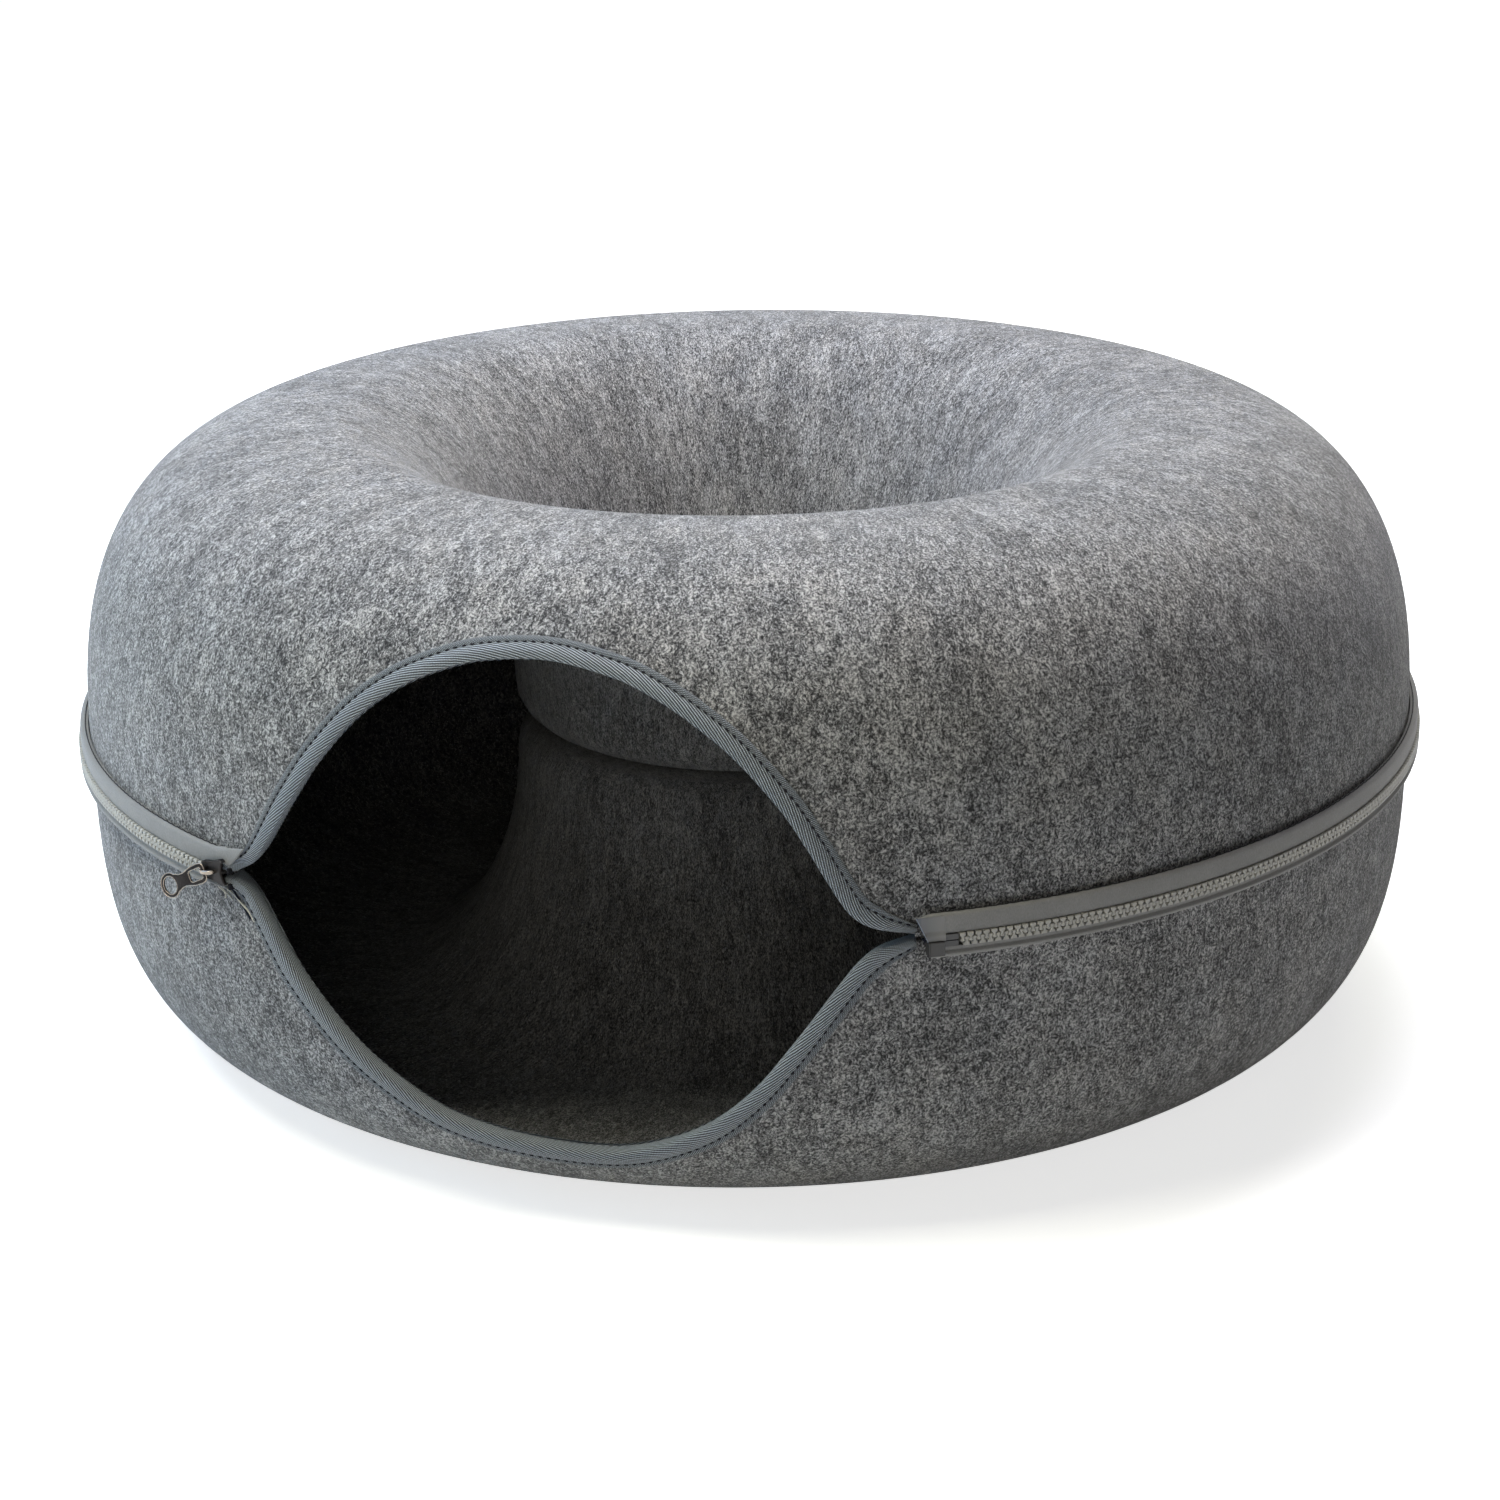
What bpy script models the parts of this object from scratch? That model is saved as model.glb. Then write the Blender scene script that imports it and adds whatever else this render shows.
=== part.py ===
"""Donut cat tunnel: two moulded felt shells that a separating zip joins round their widest line.

The origin is the middle of the bowl's floor, on its upper face, which is also the height of the zip.
+Z is up, and the entrance faces -Y. Lengths are in metres and angles in degrees. An angle round the
ring is measured from the middle of the entrance towards +X.
"""

import math

import bmesh
import bpy
from mathutils import Matrix, Vector

# Felt shells
FELT_RADIUS = 0.300
FELT_THICKNESS = 0.0045
UPPER_RISE = 0.1354
LOWER_DROP = 0.1304
UPPER_CREST_RADIUS = 0.1857
LOWER_CREST_RADIUS = 0.1912
RIM = 0.00075
STANDING_RING_WIDTH = 0.020
HUB_RADIUS = 0.103
HUB_CORNER = 0.012
UPPER_OUTER_EXPONENT = 2.65
LOWER_OUTER_EXPONENT = 3.34
UPPER_INNER_EXPONENT = 1.8
LOWER_INNER_EXPONENT = 1.9
SHELL_SIDES = 48
OUTER_STEPS = 8
INNER_STEPS = 4
CORNER_STEPS = 2

# Fit between neighbouring pieces
GAP = 0.0003
OVERRUN = 0.001
SLOPE_REACH = 0.002
SLIDER_LIFT = 0.0005

# Entrance, as it is cut in the felt
ENTRANCE_HALF_WIDTH = 0.139
ENTRANCE_RISE = 0.1045
ENTRANCE_DROP = 0.0930
ENTRANCE_CUT_DEPTH = 0.160
UPPER_ARCH_SHARES = (
    (0.0, 1.0), (0.18, 0.975), (0.30, 0.915), (0.42, 0.83), (0.54, 0.70), (0.66, 0.53),
    (0.74, 0.38), (0.80, 0.255), (0.85, 0.13), (0.90, 0.06), (1.0, 0.022),
)
LOWER_ARCH_SHARES = (
    (0.0, 1.0), (0.18, 0.975), (0.33, 0.905), (0.46, 0.80), (0.58, 0.655), (0.68, 0.485),
    (0.75, 0.34), (0.81, 0.21), (0.86, 0.105), (0.91, 0.05), (1.0, 0.024),
)

ARCH_STEPS = 2

# Binding tape folded over the cut edge
BINDING_WIDTH = 0.0078
BINDING_THICKNESS = 0.0010
BINDING_LIFT = 0.0008
BINDING_SHARES = (1.0, 0.5)
BINDING_END_WIDTH = 0.0028
BINDING_TRIM = 0.0034
BINDING_TAPER = 0.018

# Zip tapes: a leaf that stands off the felt, and a fold that is sewn to it. Each margin below is
# the way round the felt from the entrance's corner to an end of the piece, or to the box's middle. It
# is negative where the end lies over the entrance.
TAPE_THICKNESS = 0.0008
UPPER_TAPE_TOP = 0.0086
LOWER_TAPE_BOTTOM = 0.0068
TAPE_MARGIN = -0.0022

# Moulded teeth
TOOTH_PITCH = 0.00636
TOOTH_THICKNESS = 0.0030
ROW_HALF_HEIGHT = 0.0025
TOOTH_TIP_REACH = 0.0010
TOOTH_TIP_GAP = 0.0005
CHAIN_START_MARGIN = 0.0162
CHAIN_END_MARGIN = -0.0006
TEETH_PER_FACET = 5

# Slider
SLIDER_LENGTH = 0.0140
SLIDER_BACK_PLATE = 0.0011
SLIDER_FRONT_PLATE = 0.0014
SLIDER_FLANGE = 0.0008
WEDGE_HALF_HEIGHT = 0.0008
CORNER_CUT = 0.0012
BRIDGE_WIDTH = 0.0020
BRIDGE_HEIGHT = 0.0034
BRIDGE_BAR = 0.0010
BRIDGE_REAR = -0.0064
BRIDGE_FRONT = 0.0014

# Pull tab
PULL_BAR_PLACE = -0.0038
PULL_BAR_LIFT = 0.0012
PULL_THICKNESS = 0.0011
PULL_DROOP_ANGLE = 28.0
PULL_BAR = 0.0012
PULL_WINDOW_LENGTH = 0.0074
PULL_WINDOW_WIDTH = 0.0050
PULL_ARM = 0.0011
PULL_NECK_WIDTH = 0.0052
PULL_RING_PLACE = 0.0228
PULL_RING_RADIUS = 0.0050
PULL_HOLE_RADIUS = 0.0037
ROUND_STEPS = 16

# Retainer box, its pins, the stops and the film on the tape's end
BOX_MARGIN = 0.0068
BOX_LENGTH = 0.0064
BOX_TOP = 0.0025
BOX_BOTTOM = -0.0047
BOX_WALL = 0.0010
BOX_LIP = 0.0003
PIN_THICKNESS = 0.0024
PIN_HEIGHT = 0.0022
PIN_PLACE = 0.0002
PIN_POINT = 0.0008
STOP_LENGTH = 0.0012
STOP_HEIGHT = 0.0024
FILM_THICKNESS = 0.0003
FILM_START_MARGIN = -0.0015
FILM_END_MARGIN = 0.0090
FILM_TOP = 0.0080

# Sizes that follow from the ones above
corner_angle = math.degrees(math.asin(ENTRANCE_HALF_WIDTH / FELT_RADIUS))
tape_start_angle = corner_angle + math.degrees(TAPE_MARGIN / FELT_RADIUS)
tape_end_angle = 360.0 - tape_start_angle
chain_start_angle = corner_angle + math.degrees(CHAIN_START_MARGIN / FELT_RADIUS)
chain_end_angle = 360.0 - corner_angle - math.degrees(CHAIN_END_MARGIN / FELT_RADIUS)
box_angle = corner_angle + math.degrees(BOX_MARGIN / FELT_RADIUS)
film_start_angle = corner_angle + math.degrees(FILM_START_MARGIN / FELT_RADIUS)
film_end_angle = corner_angle + math.degrees(FILM_END_MARGIN / FELT_RADIUS)
chain_arc = math.radians(chain_end_angle - chain_start_angle)
slider_inner_radius = FELT_RADIUS + SLIDER_LIFT
row_inner_radius = slider_inner_radius + SLIDER_BACK_PLATE + 2 * GAP
CHAIN_FACETS = max(1, round(chain_arc * row_inner_radius / (TEETH_PER_FACET * TOOTH_PITCH)))
facet_angle = (chain_end_angle - chain_start_angle) / CHAIN_FACETS
facet_cosine = math.cos(math.radians(facet_angle) / 2)
row_outer_radius = row_inner_radius + TOOTH_THICKNESS
row_middle_radius = row_inner_radius + TOOTH_THICKNESS / 2
leaf_inner_radius = row_middle_radius - TAPE_THICKNESS / 2
leaf_outer_radius = row_middle_radius + TAPE_THICKNESS / 2
fold_inner_radius = FELT_RADIUS / facet_cosine + GAP
row_sag = row_outer_radius * (1 - facet_cosine)
channel_inner_radius = slider_inner_radius + SLIDER_BACK_PLATE
channel_outer_radius = row_outer_radius + GAP
slot_inner_radius = leaf_inner_radius - row_sag - GAP
slot_outer_radius = leaf_outer_radius + GAP
slider_outer_radius = channel_outer_radius + SLIDER_FRONT_PLATE
tape_edge = ROW_HALF_HEIGHT + GAP
row_spread = TOOTH_TIP_REACH + GAP + WEDGE_HALF_HEIGHT
slider_turn = math.degrees(SLIDER_LENGTH / row_middle_radius)
slider_angle = chain_end_angle - slider_turn / 2
spread_start = CHAIN_FACETS - slider_turn / facet_angle


def clear_scene():
    for obj in list(bpy.data.objects):
        bpy.data.objects.remove(obj, do_unlink=True)
    for group in list(bpy.data.collections):
        bpy.data.collections.remove(group)


def make_collection(name):
    group = bpy.data.collections.new(name)
    bpy.context.scene.collection.children.link(group)
    return group


def make_material(name, colour, roughness, metallic=0.0):
    finish = bpy.data.materials.new(name)
    finish.use_nodes = True
    shader = finish.node_tree.nodes["Principled BSDF"]
    shader.inputs["Base Color"].default_value = (*colour, 1.0)
    shader.inputs["Roughness"].default_value = roughness
    shader.inputs["Metallic"].default_value = metallic
    return finish


def add_object(name, mesh, finish=None, group=None):
    obj = bpy.data.objects.new(name, mesh)
    (group or part_group).objects.link(obj)
    if finish:
        mesh.materials.append(finish)
    return obj


def mesh_from(bm, name):
    bmesh.ops.recalc_face_normals(bm, faces=bm.faces)
    mesh = bpy.data.meshes.new(name)
    bm.to_mesh(mesh)
    bm.free()
    return mesh


def shade_round(mesh, sharp=35.0):
    mesh.shade_smooth()
    mesh.set_sharp_from_angle(angle=math.radians(sharp))


def block_mesh(name, low, high):
    """A box between two corners."""
    bm = bmesh.new()
    bmesh.ops.create_cube(bm, size=1.0)
    size = Vector(high) - Vector(low)
    middle = (Vector(high) + Vector(low)) / 2
    bmesh.ops.scale(bm, vec=size, verts=bm.verts)
    bmesh.ops.translate(bm, vec=middle, verts=bm.verts)
    return mesh_from(bm, name)


def plate_mesh(name, loops, thickness):
    """A flat plate in X and Y, centred on Z. The first loop is its outline, and the others are holes."""
    curve = bpy.data.curves.new(name, "CURVE")
    curve.dimensions = "2D"
    curve.fill_mode = "BOTH"
    curve.extrude = thickness / 2
    for loop in loops:
        spline = curve.splines.new("POLY")
        spline.points.add(len(loop) - 1)
        for point, (x, y) in zip(spline.points, loop):
            point.co = (x, y, 0.0, 1.0)
        spline.use_cyclic_u = True
    holder = bpy.data.objects.new(name, curve)
    cutter_group.objects.link(holder)
    bpy.context.view_layer.update()
    seen = holder.evaluated_get(bpy.context.evaluated_depsgraph_get())
    flat = bpy.data.meshes.new_from_object(seen)
    bpy.data.objects.remove(holder)
    bm = bmesh.new()
    bm.from_mesh(flat)
    bpy.data.meshes.remove(flat)
    bmesh.ops.remove_doubles(bm, verts=bm.verts, dist=GAP / 100)
    return mesh_from(bm, name)


def upright(mesh):
    """Turns a plate drawn in X and Y so that its second direction is Z."""
    mesh.transform(Matrix.Rotation(math.pi / 2, 4, "X"))
    return mesh


def cut(target, cutter):
    """Cuts one closed solid out of another."""
    cutter.hide_render = True
    cutter.display_type = "WIRE"
    step = target.modifiers.new("cut_" + cutter.name, "BOOLEAN")
    step.operation = "DIFFERENCE"
    step.object = cutter


def loft_mesh(name, sections):
    """Joins cross-sections of equal point count, one after another, and closes both ends."""
    bm = bmesh.new()
    rings = [[bm.verts.new(point) for point in section] for section in sections]
    for first, second in zip(rings, rings[1:]):
        for i in range(len(first)):
            j = (i + 1) % len(first)
            bm.faces.new((first[i], first[j], second[j], second[i]))
    bm.faces.new(rings[0])
    bm.faces.new(rings[-1])
    return mesh_from(bm, name)


def smooth_line(points, steps):
    """Points on a smooth line through the given ones, with some steps in each stretch."""
    padded = [points[0] * 2 - points[1], *points, points[-1] * 2 - points[-2]]
    line = []
    for k in range(1, len(padded) - 2):
        p0, p1, p2, p3 = padded[k - 1 : k + 3]
        for i in range(steps):
            t = i / steps
            bend = (2 * p0 - 5 * p1 + 4 * p2 - p3) * t * t + (3 * p1 - p0 - 3 * p2 + p3) * t * t * t
            line.append((2 * p1 + (p2 - p0) * t + bend) / 2)
    line.append(points[-1].copy())
    return line


def quarter_shares(exponent, steps):
    """A rounded quarter turn from (1, 0) to (0, 1); a larger exponent is squarer."""
    shares = []
    for i in range(steps + 1):
        turn = math.pi / 2 * i / steps
        shares.append((math.cos(turn) ** (2 / exponent), math.sin(turn) ** (2 / exponent)))
    return shares


def upper_profile():
    """Outer face of the upper shell, from the bowl's middle over the crest and down to the rim."""
    points = [(0.0, 0.0)]
    for across, up in quarter_shares(2.0, CORNER_STEPS)[::-1]:
        points.append((HUB_RADIUS - HUB_CORNER * (1 - across), HUB_CORNER * (1 - up)))
    wall = UPPER_CREST_RADIUS - HUB_RADIUS
    for across, up in quarter_shares(UPPER_INNER_EXPONENT, INNER_STEPS)[1:]:
        points.append((UPPER_CREST_RADIUS - wall * across, HUB_CORNER + (UPPER_RISE - HUB_CORNER) * up))
    side = FELT_RADIUS - UPPER_CREST_RADIUS
    for across, up in quarter_shares(UPPER_OUTER_EXPONENT, OUTER_STEPS)[-2::-1]:
        points.append((UPPER_CREST_RADIUS + side * across, RIM + (UPPER_RISE - RIM) * up))
    return points


def lower_profile():
    """Outer face of the lower shell, from the rim down, across the standing ring and up under the hub."""
    points = []
    side = FELT_RADIUS - LOWER_CREST_RADIUS
    for across, down in quarter_shares(LOWER_OUTER_EXPONENT, OUTER_STEPS):
        points.append((LOWER_CREST_RADIUS + side * across, -RIM - (LOWER_DROP - RIM) * down))
    ring_radius = LOWER_CREST_RADIUS - STANDING_RING_WIDTH
    roof = -2 * FELT_THICKNESS - GAP
    wall = ring_radius - HUB_RADIUS
    rise = LOWER_DROP + roof - HUB_CORNER
    for across, down in quarter_shares(LOWER_INNER_EXPONENT, INNER_STEPS)[::-1]:
        points.append((ring_radius - wall * across, roof - HUB_CORNER - rise * down))
    for across, up in quarter_shares(2.0, CORNER_STEPS)[1:]:
        points.append((HUB_RADIUS - HUB_CORNER * (1 - across), roof - HUB_CORNER * (1 - up)))
    points.append((0.0, roof))
    return points


def turned_shell(name, profile, finish):
    """Turns an open profile round Z and gives it the felt's thickness, inwards from its outer face."""
    bm = bmesh.new()
    corners = [bm.verts.new((r, 0.0, z)) for r, z in profile]
    for first, second in zip(corners, corners[1:]):
        bm.edges.new((first, second))
    mesh = bpy.data.meshes.new(name)
    bm.to_mesh(mesh)
    bm.free()
    obj = add_object(name, mesh, finish)
    turn = obj.modifiers.new("turn", "SCREW")
    turn.axis = "Z"
    turn.angle = math.tau
    turn.steps = SHELL_SIDES
    turn.render_steps = SHELL_SIDES
    turn.use_merge_vertices = True
    turn.merge_threshold = 0.00001
    turn.use_smooth_shade = True
    wall = obj.modifiers.new("felt", "SOLIDIFY")
    wall.thickness = FELT_THICKNESS
    wall.offset = -1.0
    wall.use_even_offset = True
    return obj


def shell_radius(z):
    """Outer radius of the felt at a height on its outer side, on the straight stretches of its profile."""
    if z >= 0:
        side = upper_profile()[-OUTER_STEPS - 1 :][::-1]
    else:
        side = lower_profile()[: OUTER_STEPS + 1]
    height = max(abs(z), RIM)
    for (r0, z0), (r1, z1) in zip(side, side[1:]):
        if height <= abs(z1):
            return r0 + (r1 - r0) * (height - abs(z0)) / (abs(z1) - abs(z0))
    return side[-1][0]


def facet_share(x, r):
    """How far a flat side of the shell lies inside its round, as a share of the radius."""
    half = math.pi / SHELL_SIDES
    turn = math.asin(x / r) % (2 * half)
    return math.cos(half) / math.cos(turn - half)


def felt_point(x, z):
    """The place and the outward direction of the felt's outer face at the front."""
    r = shell_radius(z)
    r *= facet_share(x, r)
    slope = (shell_radius(z + SLOPE_REACH) - shell_radius(z - SLOPE_REACH)) / (2 * SLOPE_REACH)
    place = Vector((x, -math.sqrt(r * r - x * x), z))
    out = Vector((place.x / r, place.y / r, -slope)).normalized()
    return place, out


def arch_line(side):
    """The felt's cut edge, seen from the front, from left to right. side is 1 above the zip, -1 below."""
    table = UPPER_ARCH_SHARES if side > 0 else LOWER_ARCH_SHARES
    reach = ENTRANCE_RISE if side > 0 else ENTRANCE_DROP
    half = [Vector((x * ENTRANCE_HALF_WIDTH, side * z * reach)) for x, z in table]
    mirrored = [Vector((-p.x, p.y)) for p in half[:0:-1]]
    return smooth_line(mirrored + half, ARCH_STEPS)


def entrance_cutter():
    outline = arch_line(1) + arch_line(-1)[::-1]
    mesh = upright(plate_mesh("entrance_cut", [outline], ENTRANCE_CUT_DEPTH))
    mesh.transform(Matrix.Translation((0.0, -FELT_RADIUS, 0.0)))
    return add_object("entrance_cut", mesh, group=cutter_group)


def binding_widths(places):
    """The tape's width at each place along the cut. It narrows towards both of its ends."""
    runs = [0.0]
    for a, b in zip(places, places[1:]):
        runs.append(runs[-1] + (b - a).length)
    widths = []
    for run in runs:
        share = min(1.0, run / BINDING_TAPER, (runs[-1] - run) / BINDING_TAPER)
        widths.append(BINDING_END_WIDTH + (BINDING_WIDTH - BINDING_END_WIDTH) * share)
    return widths


def entrance_binding(name, side, finish):
    """A tape folded over the cut edge: an outer leg, a web inside the entrance and an inner leg."""
    line = arch_line(side)
    inner_face = -(FELT_THICKNESS + BINDING_LIFT)
    web = GAP + BINDING_THICKNESS
    sections = []
    for end, beside in ((0, 1), (-1, -2)):
        step = line[beside] - line[end]
        line[end] = line[end] + step.normalized() * BINDING_TRIM
    widths = binding_widths([felt_point(*point)[0] for point in line])
    for i, point in enumerate(line):
        place, out = felt_point(point.x, point.y)
        before = felt_point(*line[max(i - 1, 0)])[0]
        after = felt_point(*line[min(i + 1, len(line) - 1)])[0]
        away = (after - before).cross(out).normalized() * -side
        legs = []
        for share in BINDING_SHARES:
            along = place + away * (widths[i] * share)
            legs.append(felt_point(along.x, along.z))
        outer_top = [spot + face * (BINDING_LIFT + BINDING_THICKNESS) for spot, face in legs]
        outer_under = [spot + face * BINDING_LIFT for spot, face in legs]
        inner_top = [spot + face * inner_face for spot, face in legs]
        inner_under = [spot + face * (inner_face - BINDING_THICKNESS) for spot, face in legs]
        edge = Vector((away.x, 0.0, away.z)).normalized()
        inwards = Vector((0.0, -1 / out.y, 0.0))
        outer_top.append(place - inwards * (BINDING_LIFT + BINDING_THICKNESS) - edge * web)
        outer_under.append(place - inwards * BINDING_LIFT - edge * GAP)
        inner_top.append(place - inwards * inner_face - edge * GAP)
        inner_under.append(place - inwards * (inner_face - BINDING_THICKNESS) - edge * web)
        sections.append(outer_top + inner_under[::-1] + inner_top + outer_under[::-1])
    return add_object(name, loft_mesh(name, sections), finish)


def ring_place(t, radius, z):
    """A point on the chain's facets. t counts facets from the chain's start."""
    whole = min(max(math.floor(t), 0), CHAIN_FACETS - 1)
    if 0 <= t <= CHAIN_FACETS:
        first, second, share = whole, whole + 1, t - whole
    else:
        first, second, share = t, t, 0.0
    ends = []
    for count in (first, second):
        turn = math.radians(chain_start_angle + count * facet_angle)
        ends.append(Vector((radius * math.sin(turn), -radius * math.cos(turn), z)))
    return ends[0].lerp(ends[1], share)


def row_shift(t):
    """How far each row leaves the zip's middle line inside the slider."""
    share = (t - spread_start) / (CHAIN_FACETS - spread_start)
    return row_spread * min(max(share, 0.0), 1.0)


def zip_tape(name, side, reach, finish):
    """The visible leaf and, at its far edge, the fold that is sewn to the felt."""
    first = (tape_start_angle - chain_start_angle) / facet_angle
    last = (tape_end_angle - chain_start_angle) / facet_angle
    stations = [first, *range(CHAIN_FACETS), spread_start, CHAIN_FACETS, last]
    sections = []
    for t in stations:
        edge = tape_edge + row_shift(t)
        outline = (
            (leaf_outer_radius, edge), (leaf_outer_radius, reach),
            (fold_inner_radius, reach), (fold_inner_radius, reach - TAPE_THICKNESS),
            (leaf_inner_radius, reach - TAPE_THICKNESS), (leaf_inner_radius, edge),
        )
        sections.append([ring_place(t, radius, side * z) for radius, z in outline])
    return add_object(name, loft_mesh(name, sections), finish)


def zip_teeth(name, side, finish):
    """One row of moulded teeth on its strip. The upper row's tips lie over the lower row's troughs."""
    half_steps = 2 * TEETH_PER_FACET
    trough = TOOTH_TIP_REACH + TOOTH_TIP_GAP
    bm = bmesh.new()

    def pair(t, z):
        height = side * (z + row_shift(t))
        return [bm.verts.new(ring_place(t, r, height)) for r in (row_outer_radius, row_inner_radius)]

    zigzag = []
    for i in range(CHAIN_FACETS * half_steps + 1):
        is_trough = (i % 2 == 0) == (side > 0)
        zigzag.append(pair(i / half_steps, trough if is_trough else -TOOTH_TIP_REACH))
    places = [*range(CHAIN_FACETS), spread_start, CHAIN_FACETS]
    back = [pair(t, ROW_HALF_HEIGHT) for t in places]
    for facet in range(CHAIN_FACETS):
        teeth = zigzag[facet * half_steps : (facet + 1) * half_steps + 1]
        rear = [p for t, p in zip(places, back) if facet <= t <= facet + 1]
        for face in (0, 1):
            bm.faces.new([p[face] for p in teeth] + [p[face] for p in reversed(rear)])
    for line in (zigzag, back):
        for first, second in zip(line, line[1:]):
            bm.faces.new((first[0], second[0], second[1], first[1]))
    for end in (0, -1):
        bm.faces.new((zigzag[end][0], zigzag[end][1], back[end][1], back[end][0]))
    return add_object(name, mesh_from(bm, name), finish)


def at_ring(obj, degrees):
    """Turns a piece modelled at the middle of the entrance to its own place round the ring."""
    obj.rotation_euler = (0.0, 0.0, math.radians(degrees))
    return obj


def slider_half_height(x):
    """Half the height of the slider's channel; the rows spread towards the nose at +X."""
    share = (x + SLIDER_LENGTH / 2) / SLIDER_LENGTH
    return ROW_HALF_HEIGHT + GAP + row_spread * share


def slider_body(finish):
    """Two plates joined by a wedge, with flanges that hold the rows and a slot for each tape."""
    rear = -SLIDER_LENGTH / 2
    nose = SLIDER_LENGTH / 2
    corners = []
    for x, inset in ((rear, CORNER_CUT / 2), (rear + CORNER_CUT, 0.0), (nose - CORNER_CUT, 0.0), (nose, CORNER_CUT)):
        corners.append((x, slider_half_height(x) + SLIDER_FLANGE - inset))
    outline = corners + [(x, -z) for x, z in reversed(corners)]
    thickness = slider_outer_radius - slider_inner_radius
    mesh = upright(plate_mesh("slider_body", [outline], thickness))
    mesh.transform(Matrix.Translation((0.0, -(slider_outer_radius + slider_inner_radius) / 2, 0.0)))
    body = add_object("slider_body", mesh, finish)

    start, end = rear - OVERRUN, nose + OVERRUN
    wedge_length = SLIDER_LENGTH * (WEDGE_HALF_HEIGHT / row_spread)
    wedge_end = WEDGE_HALF_HEIGHT * (1 + OVERRUN / wedge_length)
    channel = [
        (start, slider_half_height(start)), (end, slider_half_height(end)), (end, wedge_end),
        (nose - wedge_length, 0.0), (end, -wedge_end), (end, -slider_half_height(end)),
        (start, -slider_half_height(start)),
    ]
    mesh = upright(plate_mesh("slider_channel", [channel], channel_outer_radius - channel_inner_radius))
    mesh.transform(Matrix.Translation((0.0, -(channel_outer_radius + channel_inner_radius) / 2, 0.0)))
    cutters = [add_object("slider_channel", mesh, group=cutter_group)]
    slot_top = slider_half_height(end) + SLIDER_FLANGE + OVERRUN
    for name, side in (("slider_slot_upper", 1), ("slider_slot_lower", -1)):
        edges = sorted((side * (WEDGE_HALF_HEIGHT + GAP), side * slot_top))
        low = (start, -slot_outer_radius, edges[0])
        high = (end, -slot_inner_radius, edges[1])
        cutters.append(add_object(name, block_mesh(name, low, high), group=cutter_group))
    for cutter in cutters:
        cut(body, at_ring(cutter, slider_angle))
    return at_ring(body, slider_angle)


def slider_bridge(finish):
    """The arch on the front plate that holds the pull's bar."""
    outer = [
        (BRIDGE_REAR, 0.0), (BRIDGE_REAR, BRIDGE_HEIGHT - BRIDGE_BAR), (BRIDGE_REAR + BRIDGE_BAR, BRIDGE_HEIGHT),
        (BRIDGE_FRONT - 2 * BRIDGE_BAR, BRIDGE_HEIGHT), (BRIDGE_FRONT, BRIDGE_HEIGHT - 2 * BRIDGE_BAR),
        (BRIDGE_FRONT, 0.0),
    ]
    inner_front = BRIDGE_FRONT - BRIDGE_BAR
    inner_rear = BRIDGE_REAR + BRIDGE_BAR
    inner_top = BRIDGE_HEIGHT - BRIDGE_BAR
    inner = [
        (inner_front, 0.0), (inner_front, inner_top - BRIDGE_BAR), (inner_front - BRIDGE_BAR, inner_top),
        (inner_rear, inner_top), (inner_rear, 0.0),
    ]
    mesh = plate_mesh("slider_bridge", [outer + inner], BRIDGE_WIDTH)
    mesh.transform(Matrix.Diagonal((1.0, -1.0, -1.0, 1.0)))
    mesh.transform(Matrix.Translation((0.0, -slider_outer_radius - GAP, 0.0)))
    return at_ring(add_object("slider_bridge", mesh, finish), slider_angle)


def round_loop(x, radius, start=0.0, sweep=360.0):
    """Points on a circle centred on the X axis, or on a part of one."""
    closed = sweep >= 360.0
    count = ROUND_STEPS if closed else ROUND_STEPS * 3 // 4
    loop = []
    for i in range(count + (0 if closed else 1)):
        turn = math.radians(start + sweep * i / count)
        loop.append((x + radius * math.cos(turn), radius * math.sin(turn)))
    return loop


def pull_tab(finish):
    """A flat tab: a bar and window at the slider, a neck, and a ring for the finger. It hangs askew."""
    half_window = PULL_WINDOW_WIDTH / 2
    half_width = half_window + PULL_ARM
    half_neck = PULL_NECK_WIDTH / 2
    window_start = PULL_BAR / 2
    window_end = window_start + PULL_WINDOW_LENGTH
    neck_turn = math.degrees(math.asin(half_neck / PULL_RING_RADIUS))
    ring = round_loop(PULL_RING_PLACE, PULL_RING_RADIUS, -180 + neck_turn, 360 - 2 * neck_turn)
    outline = [
        (-window_start, -half_window), (window_start, -half_width), (window_end, -half_width),
        (window_end + 2 * PULL_ARM, -half_neck), *ring, (window_end + 2 * PULL_ARM, half_neck),
        (window_end, half_width), (window_start, half_width), (-window_start, half_window),
    ]
    window = [
        (window_start, -half_window), (window_end, -half_window),
        (window_end, half_window), (window_start, half_window),
    ]
    hole = round_loop(PULL_RING_PLACE, PULL_HOLE_RADIUS)
    mesh = plate_mesh("pull_tab", [outline, window, hole], PULL_THICKNESS)
    obj = add_object("pull_tab", mesh, finish)
    droop = math.radians(PULL_DROOP_ANGLE)
    along = Vector((-math.cos(droop), 0.0, -math.sin(droop)))
    out = Vector((0.0, -1.0, 0.0))
    turn = Matrix((along, out.cross(along), out)).transposed().to_4x4()
    place = Matrix.Translation((PULL_BAR_PLACE, -slider_outer_radius - PULL_BAR_LIFT, 0.0))
    obj.matrix_world = Matrix.Rotation(math.radians(slider_angle), 4, "Z") @ place @ turn
    return obj


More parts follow.
